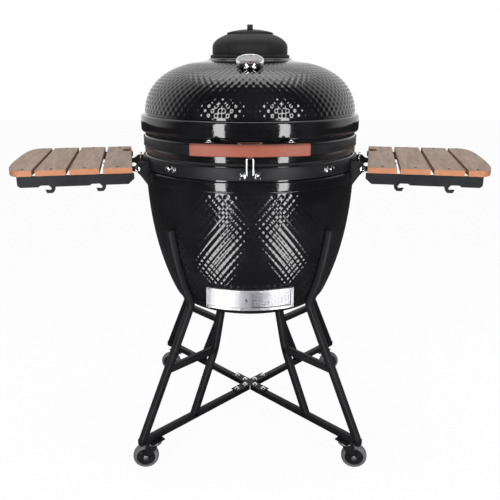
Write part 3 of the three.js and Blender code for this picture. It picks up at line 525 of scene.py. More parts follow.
def make_materials(scene):
    """Every finish of the grill by name."""
    metal, wood = scene.kamado_metal, scene.kamado_wood
    sweep_angle = atan2(JOINTS["table_right_fold"]["axis"][0], JOINTS["table_right_fold"]["axis"][1])
    woods = {f"slat_{side}": wood_material(f"slat_{side}", wood.slat, wood.slat_dark, wood.edge,
                                           sign * sweep_angle, "Y") for side, sign in SIDES.items()}
    return {
        "glaze": glaze_material("black_glaze", scene.kamado_ceramic.glaze),
        "coat": coat_material("powder_coat", metal.coat),
        "iron": iron_material("cast_iron", metal.iron),
        "chrome": chrome_material("chrome", metal.chrome),
        "steel": steel_material("brushed_steel", metal.steel),
        "rod_steel": steel_material("grate_steel", scaled(metal.steel, 0.8), (900, 14, 900)),
        "handle": wood_material("handle_wood", wood.handle, wood.handle_dark, wood.handle, 0.0, "X"),
        "clay": plain_material("fire_clay", (0.55, 0.46, 0.35), 0.8, 180.0, 0.0006),
        "felt": plain_material("felt", (0.012, 0.012, 0.012), 0.9, 900.0, 0.0006),
        "tread": plain_material("grey_rubber", (0.11, 0.112, 0.12), 0.55, 700.0, 0.0001),
        "hub": plain_material("dark_plastic", (0.012, 0.012, 0.013), 0.4, 900.0, 0.0001),
        "dial": plain_material("dial_face", (0.012, 0.012, 0.014), 0.35, 500.0, 0.00003),
        "marks": plain_material("dial_marks", (0.75, 0.75, 0.72), 0.5, 500.0, 0.00003),
        "pointer": plain_material("pointer_red", (0.5, 0.03, 0.02), 0.4, 500.0, 0.00003),
        "lens": lens_material("lens"),
        **woods,
    }


FINISH = {}


# ---- ceramic body -----------------------------------------------------------------------------

BOWL_LOW, BOWL_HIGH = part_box("bowl")
LID_LOW, LID_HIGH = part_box("lid")
RING_PROUD = 5 * MM
BOWL_RADIUS = BOWL_HIGH.x - RING_PROUD
RIM_RADIUS = BOWL_RADIUS + 1 * MM
BOWL_NECK_Z = BOWL_HIGH.z - 70.2 * MM
RING_HEIGHT = 31 * MM
CORNER_RADIUS = 236 * MM
CORNER_RISE = 17 * MM
FLAT_RADIUS = 200 * MM


def bowl_wall(offset, count):
    """The side of the bowl from its bottom corner to its neck, grown by an offset."""
    corner_z = BOWL_LOW.z + CORNER_RISE
    side = BOWL_NECK_Z - corner_z
    return curve((CORNER_RADIUS + offset, corner_z), (CORNER_RADIUS + 30 * MM + offset, corner_z + side * 0.18),
                 (BOWL_RADIUS - 4 * MM + offset, corner_z + side * 0.51),
                 (BOWL_RADIUS + offset, BOWL_NECK_Z), count)


def dimple(bm, settings, low, high, along, inside_of):
    """Raises the glaze between staggered dimples; along gives the distance travelled up the wall."""
    bm.normal_update()
    moves = []
    for vert in bm.verts:
        z = vert.co.z
        if z <= low or z >= high:
            continue
        radius = hypot(vert.co.x, vert.co.y)
        if radius < inside_of(z):
            continue
        fade = min(1.0, (z - low) / (7 * MM), (high - z) / (7 * MM))
        travel = along(radius, z) / settings.dimple_rise
        wave = cos(settings.dimples_round * atan2(vert.co.y, vert.co.x)) * cos(pi * travel)
        outward = Vector((vert.co.x, vert.co.y, 0)).normalized()
        sign = 1 if vert.normal.dot(outward) + vert.normal.z > 0 else -1
        moves.append((vert, vert.normal * sign * fade * settings.dimple_depth * (abs(wave) ** 0.8) *
                      (1 if wave > 0 else -1)))
    for vert, move in moves:
        vert.co += move


def build_bowl(settings):
    """The bowl: dimpled outside, raised ring, thick wall and the draft hole."""
    wall = settings.wall
    outer = bowl_wall(0, 118)
    floor = BOWL_LOW.z + wall
    ring_top = BOWL_NECK_Z + RING_HEIGHT
    rounding = 4 * MM
    proud = BOWL_RADIUS + RING_PROUD
    arc = [(proud - rounding + rounding * sin(a), rounding - rounding * cos(a))
           for a in (radians(d) for d in (18, 36, 54, 72, 90))]
    hole_low, hole_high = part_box("draft_frame")
    hole = [hole_low.z + 11 * MM, hole_high.z - 11 * MM]
    inner = [(r - wall, z) for r, z in bowl_wall(0, 26) if z > floor + 10 * MM]
    outline = [
        (0, BOWL_LOW.z), (FLAT_RADIUS, BOWL_LOW.z), (FLAT_RADIUS + 12 * MM, BOWL_LOW.z + 0.8 * MM),
        (FLAT_RADIUS + 22 * MM, BOWL_LOW.z + 4 * MM), (FLAT_RADIUS + 30 * MM, BOWL_LOW.z + 9.5 * MM),
        *outer,
        (BOWL_RADIUS + 0.6 * MM, BOWL_NECK_Z + 0.6 * MM),
        *[(r, BOWL_NECK_Z + 0.8 * MM + z) for r, z in arc],
        *[(r, ring_top - 0.8 * MM - z) for r, z in reversed(arc)],
        (BOWL_RADIUS + 0.6 * MM, ring_top - 0.6 * MM), (BOWL_RADIUS, ring_top),
        (BOWL_RADIUS, BOWL_HIGH.z - 2 * MM), (BOWL_RADIUS - 2 * MM, BOWL_HIGH.z),
        (BOWL_RADIUS - wall + 2 * MM, BOWL_HIGH.z), (BOWL_RADIUS - wall, BOWL_HIGH.z - 2 * MM),
        *reversed(inner),
        (CORNER_RADIUS - wall - 14 * MM, floor), (0, floor),
    ]
    bm = bmesh.new()
    turn(bm, outline, settings.turn_steps)
    dimple(bm, settings, BOWL_LOW.z + CORNER_RISE + 2 * MM, BOWL_NECK_Z - 1 * MM, lambda r, z: z,
           lambda z: CORNER_RADIUS - 14 * MM if z < 0.5 else CORNER_RADIUS + (z - 0.5) * 0.17)
    half = radians(20)
    gone = []
    for face in bm.faces:
        middle = face.calc_center_median()
        azimuth = atan2(middle.x, -middle.y)
        if abs(azimuth) < half and hole[0] < middle.z < hole[1] and hypot(middle.x, middle.y) > 0.15:
            gone.append(face)
    bmesh.ops.delete(bm, geom=gone, context="FACES")
    rims = [e for e in bm.edges if e.is_boundary]
    bmesh.ops.bridge_loops(bm, edges=rims)
    make_piece("bowl_shell", bm, FINISH["glaze"], "base", ["bowl"])


def build_lid(settings):
    """The lid: straight lip, neck, raised bulge, dimpled dome and smooth chimney."""
    wall = settings.wall
    lip = LID_LOW.z + 45 * MM
    bulge = lip + 12 * MM
    bulge_top = bulge + 48 * MM
    shoulder = bulge_top + 142 * MM
    neck = RIM_RADIUS - 3 * MM
    full = LID_HIGH.x
    rounding = 9 * MM
    arc = [(full - rounding + rounding * sin(a), rounding - rounding * cos(a))
           for a in (radians(d) for d in (12, 26, 40, 55, 72, 90))]
    dome = curve((RIM_RADIUS - 4.5 * MM, bulge_top + 1 * MM), (RIM_RADIUS - 6 * MM, bulge_top + 54 * MM),
                 (RIM_RADIUS - 38 * MM, bulge_top + 123.5 * MM), (150 * MM, shoulder), 86)
    flare = curve((148 * MM, shoulder + 0.4 * MM), (128 * MM, shoulder + 3 * MM), (120 * MM, shoulder + 5 * MM),
                  (118 * MM, LID_HIGH.z), 10)
    inside = curve((140 * MM, shoulder - 24 * MM), (RIM_RADIUS - 60 * MM, bulge_top + 102 * MM),
                   (RIM_RADIUS - 31 * MM, bulge_top + 43 * MM), (RIM_RADIUS - 30 * MM, bulge_top - 6 * MM), 20)
    bore = 62 * MM
    outline = [
        (RIM_RADIUS - 2 * MM, LID_LOW.z), (RIM_RADIUS, LID_LOW.z + 2 * MM), (RIM_RADIUS, lip - 2 * MM),
        (RIM_RADIUS - 1 * MM, lip), (neck, lip + 3 * MM), (neck, bulge - 1 * MM), (neck + 1.2 * MM, bulge),
        *[(r, bulge + z) for r, z in arc],
        *[(r, bulge_top - z) for r, z in reversed(arc)],
        *dome, *flare,
        (bore + 3 * MM, LID_HIGH.z), (bore, LID_HIGH.z - 3 * MM), (bore, shoulder - 19 * MM),
        *inside,
        (RIM_RADIUS - wall, bulge), (RIM_RADIUS - wall, LID_LOW.z + 2 * MM),
        (RIM_RADIUS - wall + 2 * MM, LID_LOW.z),
    ]
    travelled = [0.0]
    for last, here in zip(dome, dome[1:]):
        travelled.append(travelled[-1] + hypot(here[0] - last[0], here[1] - last[1]))

    @lru_cache(maxsize=None)
    def travel_near(radius, z):
        nearest = min(range(len(dome)), key=lambda i: hypot(dome[i][0] - radius, dome[i][1] - z))
        return travelled[nearest]

    @lru_cache(maxsize=None)
    def skin_near(z):
        return min(dome, key=lambda p: abs(p[1] - z))[0] - 9 * MM

    def along(radius, z):
        return travel_near(round(radius, 5), round(z, 5))

    def inside_of(z):
        return skin_near(round(z, 5))

    bm = bmesh.new()
    turn(bm, outline, settings.turn_steps, close=True)
    dimple(bm, settings, bulge_top + 2 * MM, shoulder + 0.2 * MM, along, inside_of)
    make_piece("lid_shell", bm, FINISH["glaze"], "lid", ["lid"])


def rounded_ring(inner, outer, low, high, edge):
    """The outline of a flat ring with eased edges."""
    return [(inner, low), (outer - edge, low), (outer - edge * 0.3, low + edge * 0.3), (outer, low + edge),
            (outer, high - edge), (outer - edge * 0.3, high - edge * 0.3), (outer - edge, high), (inner, high)]


def build_bands(settings):
    """The two steel bands with rolled edges, and the felt gaskets."""
    for node, body in (("lid_band", "lid"), ("bowl_band", "base")):
        low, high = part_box(node)
        inner = high.x - settings.band_thickness
        bm = bmesh.new()
        edge = 0.9 * MM
        turn(bm, rounded_ring(inner, high.x - edge, low.z, high.z, edge), 256, close=True)
        for z in (low.z + 2.2 * MM, high.z - 2.2 * MM):
            bead = [(high.x - 1.9 * MM + 1.9 * MM * cos(a), z + 1.9 * MM * sin(a))
                    for a in (2 * pi * i / 10 for i in range(10))]
            turn(bm, bead, 256, close=True)
        make_piece(f"{node}_rolled", bm, FINISH["coat"], body, [node])
    for node, body in (("lid_gasket", "lid"), ("bowl_gasket", "base")):
        low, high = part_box(node)
        bm = bmesh.new()
        turn(bm, rounded_ring(high.x - 19 * MM, high.x, low.z, high.z, 1 * MM), 192, close=True)
        make_piece(f"{node}_felt", bm, FINISH["felt"], body, [node])


def build_inside():
    """Fire clay liners and the two grates."""
    for node in ("firebox", "fire_ring"):
        dress(node, FINISH["clay"], 1.5 * MM)
    dress("charcoal_grate", FINISH["iron"], 1.0 * MM)
    low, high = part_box("cooking_grate")
    radius = high.x
    rod = 3 * MM
    bm = bmesh.new()
    rim = [(radius - rod + rod * cos(a), low.z + rod + rod * sin(a))
           for a in (2 * pi * i / 10 for i in range(10))]
    turn(bm, rim, 96, close=True)
    pitch = 19 * MM
    count = int((radius - 2 * rod) / pitch)
    for i in range(-count, count + 1):
        x = i * pitch
        half = sqrt((radius - rod) ** 2 - x * x)
        sweep(bm, [(x, -half, high.z - rod), (x, half, high.z - rod)], round_section(rod * 0.9, 8), (1, 0, 0))
    for y in (-0.4 * radius, 0.4 * radius):
        half = sqrt((radius - rod) ** 2 - y * y)
        sweep(bm, [(-half, y, low.z + rod), (half, y, low.z + rod)], round_section(rod, 8), (0, 1, 0))
    make_piece("cooking_grate_rods", bm, FINISH["rod_steel"], "base", ["cooking_grate"])


# ---- lid fittings -----------------------------------------------------------------------------

def build_handle():
    """The bowed wooden bar, its two posts and their bolts."""
    low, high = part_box("handle_bar")
    depth = 22 * MM
    bow = (high.y - low.y) - depth
    half = (high.x - low.x) / 2
    radius = (half ** 2 + bow ** 2) / (2 * bow)
    middle_z = (low.z + high.z) / 2
    tall = high.z - low.z
    section = []
    corner = 5.5 * MM
    for quarter, (sx, sy) in enumerate(((1, 1), (-1, 1), (-1, -1), (1, -1))):
        for i in range(5):
            angle = pi / 2 * (quarter + i / 4)
            section.append((sx * (tall / 2 - corner) + corner * cos(angle),
                            sy * (depth / 2 - corner) + corner * sin(angle)))
    count = 36
    path = []
    for i in range(count + 1):
        x = -half + 2 * half * i / count
        path.append((x, low.y + depth / 2 + radius - sqrt(radius ** 2 - x * x), middle_z))
    bm = bmesh.new()
    sweep(bm, path, section, (0, 0, 1))
    caps = [f for f in bm.faces if len(f.verts) > 6]
    edges = list({e for f in caps for e in f.edges})
    bmesh.ops.bevel(bm, geom=edges, offset=2.5 * MM, offset_type="OFFSET", segments=3, profile=0.5,
                    affect="EDGES", material=-1)
    for vert in bm.verts:
        vert.co.x = max(-half, min(half, vert.co.x))
    make_piece("handle_grip", bm, FINISH["handle"], "lid", ["handle_bar"], 50)
    bm = bmesh.new()
    for side in SIDES:
        node = f"handle_post_{side}"
        dress(node, FINISH["coat"], 0.8 * MM)
        post_low, post_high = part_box(node)
        x = (post_low.x + post_high.x) / 2
        dome_bolt(bm, (x, post_low.y + 10 * MM, post_high.z), (0, 0, 1), 6.5 * MM, 6 * MM)
    make_piece("handle_bolts", bm, FINISH["chrome"], "lid")


def build_thermometer():
    """The bezel, dial, marks, pointer and lens of the thermometer."""
    joint = JOINTS["needle_turn"]
    centre, normal = Vector(joint["pos_m"]), Vector(joint["axis"]).normalized()
    radius, half = 36 * MM, 7.5 * MM
    rim = 4.5 * MM
    bm = bmesh.new()
    bezel = [(0, -70 * MM), (4 * MM, -69 * MM), (4 * MM, -half), (radius - 3 * MM, -half),
             (radius - 0.8 * MM, -half + 0.8 * MM), (radius, -half + 3 * MM), (radius, half - 3.2 * MM),
             (radius - 0.7 * MM, half - 1 * MM), (radius - 2.2 * MM, half),
             (radius - rim + 0.8 * MM, half - 0.3 * MM),
             (radius - rim, half - 1.4 * MM), (radius - rim, half - 6 * MM), (0, half - 6 * MM)]
    place(bm, turn(bm, bezel, 96), centre, normal)
    make_piece("thermometer_bezel", bm, FINISH["chrome"], "lid", ["thermometer_case"])
    bm = bmesh.new()
    face_z = half - 5.9 * MM
    place(bm, turn(bm, [(0, face_z), (radius - rim - 0.2 * MM, face_z),
                        (radius - rim - 0.2 * MM, face_z - 0.4 * MM),
                        (0, face_z - 0.4 * MM)], 72), centre, normal)
    make_piece("dial_face", bm, FINISH["dial"], "lid")
    bm = bmesh.new()
    everything = []
    for i in range(28):
        long = i % 3 == 0
        inner = 22 * MM if long else 24.5 * MM
        mark = block(bm, (-0.35 * MM, inner, face_z), (0.35 * MM, 28 * MM, face_z + 0.15 * MM))
        about_z(bm, mark, radians(135 - 10 * i))
        everything += mark
    place(bm, everything, centre, normal)
    make_piece("dial_marks", bm, FINISH["marks"], "lid")
    dress("thermometer_needle", FINISH["pointer"])
    bm = bmesh.new()
    lens = [(0, half + 0.4 * MM), (radius * 0.5, half + 0.1 * MM), (radius - rim - 0.3 * MM, half - 0.9 * MM),
            (radius - rim - 0.3 * MM, half - 1.9 * MM), (0, half - 1.9 * MM)]
    place(bm, turn(bm, lens, 72), centre, normal)
    make_piece("thermometer_lens", bm, FINISH["lens"], "lid", ["thermometer_glass"])


CAP_LOW, CAP_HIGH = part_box("damper_dome")
CAP_RADIUS = CAP_HIGH.x
CAP_SHOULDER = CAP_LOW.z + 20 * MM
CAP_CROWN = 44 * MM
VENT_INNER, VENT_OUTER = 20 * MM, 50 * MM


def crown(radius, offset=0.0):
    """Height of the damper cap's outside at a radius."""
    return CAP_SHOULDER + CAP_CROWN * sqrt(max(0.0, 1 - (radius / CAP_RADIUS) ** 2)) + offset


def open_vents(bm, half_angle, inner, outer):
    """Cuts two kidney vents through a turned shell and closes their walls."""
    gone = []
    for face in bm.faces:
        middle = face.calc_center_median()
        radius = hypot(middle.x, middle.y)
        if inner < radius < outer and abs(middle.y) < abs(middle.x) * sin(half_angle) / cos(half_angle):
            gone.append(face)
    bmesh.ops.delete(bm, geom=gone, context="FACES")
    for side in (-1, 1):
        rims = [e for e in bm.edges if e.is_boundary and e.verts[0].co.x * side > 0]
        bmesh.ops.bridge_loops(bm, edges=rims)


def build_damper():
    """The iron base, the swinging cap and the vent wheel with its ribbed fin."""
    low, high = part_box("damper_base")
    flange = 9 * MM
    top = CAP_LOW.z - 0.3 * MM
    bm = bmesh.new()
    collar = 60 * MM
    turn(bm, [(collar - 8 * MM, low.z), (collar, low.z), (collar, top - flange),
              (high.x - 2 * MM, top - flange),
              (high.x, top - flange + 2 * MM), (high.x, top - 3 * MM), (high.x - 1 * MM, top - 0.8 * MM),
              (high.x - 3 * MM, top), (collar - 8 * MM, top)], 128, close=True)
    pin = JOINTS["damper_swing"]["pos_m"]
    sweep(bm, [(pin[0], pin[1], top - 4 * MM), (pin[0], pin[1], high.z)], round_section(5 * MM, 20), (1, 0, 0))
    make_piece("damper_ring", bm, FINISH["iron"], "lid", ["damper_base"])
    bm = bmesh.new()
    wall = 7 * MM
    inner = CAP_RADIUS - wall
    radii = [108, 107.4, 106, 103.5, 100, 95, 89, 82, 74, 66, 58, 50, 42, 35, 28, 20, 12, 5]
    outside = [(r * MM, crown(r * MM)) for r in radii]
    edges = {50: VENT_OUTER, 20: VENT_INNER}
    under = [(edges.get(r, r * MM * 0.935), crown(r * MM) - wall) for r in radii]
    outline = [(inner, CAP_LOW.z), (CAP_RADIUS - 2 * MM, CAP_LOW.z),
               (CAP_RADIUS - 0.6 * MM, CAP_LOW.z + 0.6 * MM),
               (CAP_RADIUS, CAP_LOW.z + 2 * MM), (CAP_RADIUS, CAP_SHOULDER - 3 * MM), *outside, (0, crown(0)),
               (0, crown(0) - wall), *reversed(under)]
    turn(bm, outline, 144, close=True)
    open_vents(bm, radians(32.5), VENT_INNER, VENT_OUTER)
    make_piece("damper_cap_shell", bm, FINISH["iron"], "damper_cap", ["damper_dome"])
    bm = bmesh.new()
    gap, thick = 0.6 * MM, 4 * MM
    wheel = [66, 64.5, 58, 50, 42, 35, 28, 20, 12, 5]
    upper = [(r * MM, crown(r * MM, gap + thick * (0.6 if r == 66 else 1))) for r in wheel]
    lower = [(r * MM, crown(r * MM, gap)) for r in wheel]
    turn(bm, [*upper, (0, crown(0, gap + thick)), (0, crown(0, gap)), *reversed(lower)], 144, close=True)
    open_vents(bm, radians(32.5), VENT_INNER, VENT_OUTER)
    fin_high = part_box("daisy_wheel")[1]
    half = 46 * MM
    profile = []
    for i in range(13):
        y = -half + 2 * half * i / 12
        profile.append((0, y, fin_high.z - 8 * MM - 5 * MM * (abs(y) / half) ** 3))
    sweep(bm, profile, [(a * 0.95, b) for a, b in square_section(16 * MM, 5 * MM, 5)], (1, 0, 0))
    block(bm, (-6 * MM, -half * 0.9, crown(half) - 2 * MM), (6 * MM, half * 0.9, fin_high.z - 8 * MM), 1 * MM)
    for i in range(7):
        y = -half * 0.78 + i * half * 0.26
        block(bm, (-8 * MM, y - 1.6 * MM, fin_high.z - 13 * MM),
              (8 * MM, y + 1.6 * MM, fin_high.z - 0.2 * MM), 1.2 * MM)
    make_piece("damper_vent_wheel", bm, FINISH["iron"], "damper_wheel", ["daisy_wheel"])
    bm = bmesh.new()
    plate = block(bm, (-22 * MM, -CAP_RADIUS - 1.2 * MM, CAP_LOW.z + 4 * MM),
                  (22 * MM, -CAP_RADIUS + 4 * MM, CAP_SHOULDER - 3 * MM), 0.6 * MM)
    about_z(bm, plate, radians(-42))
    make_piece("damper_blank_plate", bm, FINISH["iron"], "damper_cap")


def build_hinge():
    """The rear hinge: plates, pin with nuts and two wound springs."""
    for node in ("hinge_base", "hinge_arm"):
        dress(node, FINISH["coat"], 1.0 * MM)
    low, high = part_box("hinge_pin")
    y, z = (low.y + high.y) / 2, (low.z + high.z) / 2
    radius = (high.z - low.z) / 2
    bm = bmesh.new()
    sweep(bm, [(low.x, y, z), (high.x, y, z)], round_section(radius, 28), (0, 1, 0))
    for side, x in ((-1, low.x), (1, high.x)):
        hex_bolt(bm, (x - side * 2.4 * MM, y, z), (-side, 0, 0), radius * 0.1, 0.2 * MM)
    make_piece("hinge_pin_turned", bm, FINISH["steel"], "base", ["hinge_pin"])
    for side in SIDES:
        low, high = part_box(f"hinge_spring_{side}")
        wire = 1.5 * MM
        coil = (high.z - low.z) / 2 - wire
        turns = 4
        path = []
        for i in range(turns * 16 + 1):
            angle = 2 * pi * i / 16
            x = low.x + wire + (high.x - low.x - 2 * wire) * i / (turns * 16)
            path.append((x, y + coil * cos(angle), z + coil * sin(angle)))
        bm = bmesh.new()
        sweep(bm, path, round_section(wire, 8), (1, 0, 0))
        make_piece(f"hinge_coil_{side}", bm, FINISH["steel"], "base", [f"hinge_spring_{side}"])


def build_latch(settings):
    """The front latch, its wire bail, the catch plate and the band clamps."""
    dress("latch_bracket", FINISH["chrome"], 1.2 * MM)
    dress("lid_catch", FINISH["chrome"], 0.6 * MM)
    low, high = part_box("latch_bail")
    radius = settings.wire / 2
    y = (low.y + high.y) / 2
    span = 8.5 * MM
    base, top = low.z + radius, high.z - radius
    path = rounded_path([(-span - 3 * MM, y, base), (-span, y, base), (-span, y, top), (span, y, top),
                         (span, y, base),
                         (span + 3 * MM, y, base)], 5 * MM)
    bm = bmesh.new()
    sweep(bm, path, round_section(radius, 16), (0, 1, 0))
    make_piece("latch_wire", bm, FINISH["chrome"], "latch_bail", ["latch_bail"])
    low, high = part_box("latch_bracket")
    bm = bmesh.new()
    for x in (low.x + 6 * MM, high.x - 6 * MM):
        dome_bolt(bm, (x, low.y, (low.z + high.z) / 2), (0, -1, 0), 3.6 * MM)
    make_piece("latch_bolts", bm, FINISH["chrome"], "base")
    low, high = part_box("lid_catch")
    bm = bmesh.new()
    for x in (low.x + 9 * MM, high.x - 9 * MM):
        front = low.y + (LID_HIGH.x - sqrt(LID_HIGH.x ** 2 - x * x))
        dome_bolt(bm, (x, front + 0.4 * MM, high.z - 6 * MM), (0, -1, 0), 3.2 * MM)
    make_piece("catch_bolts", bm, FINISH["chrome"], "lid")
    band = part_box("bowl_band")[1].x
    for side in SIDES:
        node = f"band_clamp_{side}"
        dress(node, FINISH["chrome"], 0.8 * MM)
        low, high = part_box(node)
        middle = (low + high) / 2
        out = Vector((middle.x, middle.y, 0)).normalized()
        along = Vector((-out.y, out.x, 0))
        bm = bmesh.new()
        axis = out * (band + 7.3 * MM) + Vector((0, 0, middle.z))
        for end in (-1, 1):
            hex_bolt(bm, axis + along * end * 12 * MM, along * end, 5 * MM, 4.5 * MM)
        sweep(bm, [axis - along * 19 * MM, axis + along * 19 * MM], round_section(2.8 * MM, 14), (0, 0, 1))
        make_piece(f"clamp_bolt_{side}", bm, FINISH["chrome"], "base")


# ---- draft slider -----------------------------------------------------------------------------

def curved_panel(radius, thickness, low, high, start, end, columns, rows):
    """A thin upright panel on an arc between two azimuths from the front, split into cells."""
    outline = [(radius, low + (high - low) * i / rows) for i in range(rows + 1)]
    bm = bmesh.new()
    turn(bm, outline, columns, end - start, start - pi / 2)
    bmesh.ops.solidify(bm, geom=bm.faces, thickness=thickness)
    return bm


def build_draft():
    """The draft frame with its screws, the solid door and the perforated screen."""
    dress("draft_frame", FINISH["steel"], 0.8 * MM)
    low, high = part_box("draft_frame")
    face = 277.5 * MM
    rail = 2.3 * MM
    door_low, door_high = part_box("draft_door")
    angle = radians(26.5 - 1.1)
    lap = radians(1)
    bm = curved_panel(face - 3.2 * MM, 1.1 * MM, door_low.z, door_high.z, -angle, lap, 26, 1)
    make_piece("draft_door_panel", bm, FINISH["steel"], "draft_door", ["draft_door"])
    outline = [(face - 5.2 * MM, door_low.z + (door_high.z - door_low.z) * i / 13) for i in range(14)]
    bm = bmesh.new()
    turn(bm, outline, 30, angle + lap, -lap - pi / 2)
    inner = [f for f in bm.faces if door_low.z + 5 * MM < f.calc_center_median().z < door_high.z - 5 * MM]
    edge = angle - radians(1.5)
    start = -lap + radians(1.5)
    middles = {f: f.calc_center_median() for f in inner}
    inner = [f for f in inner if start < atan2(middles[f].x, -middles[f].y) < edge]
    bmesh.ops.inset_individual(bm, faces=inner, thickness=1.0 * MM, use_even_offset=True)
    bmesh.ops.delete(bm, geom=inner, context="FACES")
    bmesh.ops.solidify(bm, geom=bm.faces, thickness=1.1 * MM)
    make_piece("draft_screen_panel", bm, FINISH["steel"], "draft_screen", ["draft_screen"])
    bm = bmesh.new()
    for side in (-1, 1):
        for z in (low.z + 5 * MM, high.z - 5 * MM):
            azimuth = side * radians(25.2)
            out = Vector((sin(azimuth), -cos(azimuth), 0))
            dome_bolt(bm, out * (face - 0.1 * MM) + Vector((0, 0, z)), out, 2.4 * MM)
    knob = Vector((sin(radians(-2.2)), -cos(radians(-2.2)), 0))
    make_piece("draft_screws", bm, FINISH["chrome"], "base")
    bm = bmesh.new()
    middle = Vector((0, 0, (low.z + high.z) / 2))
    dome_bolt(bm, knob * (face - rail - 0.9 * MM) + middle, knob, 3.2 * MM, 5 * MM)
    make_piece("draft_door_knob", bm, FINISH["chrome"], "draft_door")


# ---- stand ------------------------------------------------------------------------------------

def build_stand(settings):
    """Four welded tube frames, the cross plate and its bolts."""
    centre_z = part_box("cross_plate")[0].z - 0.3 * MM - settings.tube / 2
    section = square_section(settings.tube * 0.995, settings.tube_round)
    offset = settings.tube / 2 + 1.6 * MM
    hook_top = 727 * MM
    bend = (249 * MM, 476 * MM)
    foot, inner_foot = (447 * MM, centre_z), (252 * MM, centre_z)
    joint, prop = (157 * MM, 300 * MM), (118 * MM, BOWL_LOW.z - 1 * MM)
    share = (bend[1] - joint[1]) / (bend[1] - centre_z)
    mid_outer = (bend[0] + (foot[0] - bend[0]) * share, joint[1])
    hook = [p for p in bowl_wall(offset, 26) if bend[1] + 12 * MM < p[1] < hook_top]
    last = hook[-1]
    hook += [(last[0] + 0.3 * MM, last[1] + 9 * MM)]
    for corner, azimuth in CORNERS.items():
        bm = bmesh.new()

        def bar(points, bend_radius=0.012):
            sweep(bm, rounded_path([(r, 0, z) for r, z in points], bend_radius), section, (0, 1, 0))

        bar([*reversed(hook), bend, (foot[0], foot[1])], 0.02)
        bar([(foot[0] + 8 * MM, centre_z), (settings.tube / 2 + 0.8 * MM, centre_z)])
        bar([inner_foot, joint, prop], 0.03)
        bar([joint, mid_outer])
        pad_low = 89 * MM
        block(bm, (381 * MM, -23 * MM, pad_low), (427 * MM, 23 * MM, pad_low + 4 * MM), 0.8 * MM)
        for x in (388 * MM, 420 * MM):
            for y in (-16 * MM, 16 * MM):
                hex_bolt(bm, (x, y, pad_low + 4 * MM), (0, 0, 1), 3.6 * MM, 2.4 * MM)
        about_z(bm, bm.verts, radians(azimuth))
        make_piece(f"stand_frame_{corner}", bm, FINISH["coat"], "base",
                   [f"leg_frame_{corner}"], 40)
    dress("cross_plate", FINISH["coat"], 0.8 * MM)
    bm = bmesh.new()
    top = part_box("cross_plate")[1].z
    for azimuth in CORNERS.values():
        for radius in (24 * MM, 62 * MM):
            out = Vector((cos(radians(azimuth)), sin(radians(azimuth)), 0))
            hex_bolt(bm, out * radius + Vector((0, 0, top)), (0, 0, 1), settings.bolt, 4.2 * MM)
    make_piece("cross_plate_bolts", bm, FINISH["chrome"], "base")


def build_casters():
    """Forks with their bearing rings and axle nuts, and wheels with grey treads."""
    for corner in CORNERS:
        swivel, roll = JOINTS[f"swivel_{corner}"], JOINTS[f"roll_{corner}"]
        hub = Vector(roll["pos_m"])
        axis = Vector(roll["axis"]).normalized()
        dress(f"caster_fork_{corner}", FINISH["coat"], 0.8 * MM)
        fork_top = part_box(f"caster_fork_{corner}")[1].z
        bm = bmesh.new()
        bearing = turn(bm, [(0, fork_top - 9 * MM), (21 * MM, fork_top - 9 * MM),
                            (22.5 * MM, fork_top - 7 * MM),
                            (22.5 * MM, fork_top - 4 * MM), (19 * MM, fork_top - 0.2 * MM),
                            (0, fork_top - 0.2 * MM)], 48)
        bmesh.ops.translate(bm, vec=(swivel["pos_m"][0], swivel["pos_m"][1], 0), verts=bearing)
        for end in (-1, 1):
            hex_bolt(bm, hub + axis * end * 16.4 * MM, axis * end, 6 * MM, 4 * MM)
        make_piece(f"caster_bearing_{corner}", bm, FINISH["steel"], f"fork_{corner}")
        radius, half = 38 * MM, 12 * MM
        bm = bmesh.new()
        tread = [(radius - 10.5 * MM, -half + 0.6 * MM), (radius - 8 * MM, -half),
                 (radius - 4 * MM, -half + 0.4 * MM),
                 (radius - 1.6 * MM, -half + 3 * MM), (radius - 0.4 * MM, -half + 6.5 * MM), (radius, 0),
                 (radius - 0.4 * MM, half - 6.5 * MM), (radius - 1.6 * MM, half - 3 * MM),
                 (radius - 4 * MM, half - 0.4 * MM), (radius - 8 * MM, half),
                 (radius - 10.5 * MM, half - 0.6 * MM)]
        place(bm, turn(bm, tread, 72, close=True), hub, axis)
        make_piece(f"caster_tread_{corner}", bm, FINISH["tread"], f"wheel_{corner}",
                   [f"caster_wheel_{corner}"])
        bm = bmesh.new()
        core = [(5 * MM, -half), (11 * MM, -half), (12.5 * MM, -half + 1.5 * MM), (13.5 * MM, -half + 5 * MM),
                (radius - 13 * MM, -half + 5 * MM), (radius - 12 * MM, -half + 2 * MM),
                (radius - 10.3 * MM, -half + 1.2 * MM), (radius - 10.3 * MM, half - 1.2 * MM),
                (radius - 12 * MM, half - 2 * MM), (radius - 13 * MM, half - 5 * MM),
                (13.5 * MM, half - 5 * MM),
                (12.5 * MM, half - 1.5 * MM), (11 * MM, half), (5 * MM, half)]
        verts = turn(bm, core, 72, close=True)
        for i in range(6):
            rib = block(bm, (12 * MM, -1.4 * MM, -half + 2.4 * MM),
                        (radius - 11 * MM, 1.4 * MM, half - 2.4 * MM), 0.5 * MM)
            about_z(bm, rib, pi / 3 * i)
            verts += rib
        place(bm, verts, hub, axis)
        make_piece(f"caster_hub_{corner}", bm, FINISH["hub"], f"wheel_{corner}")


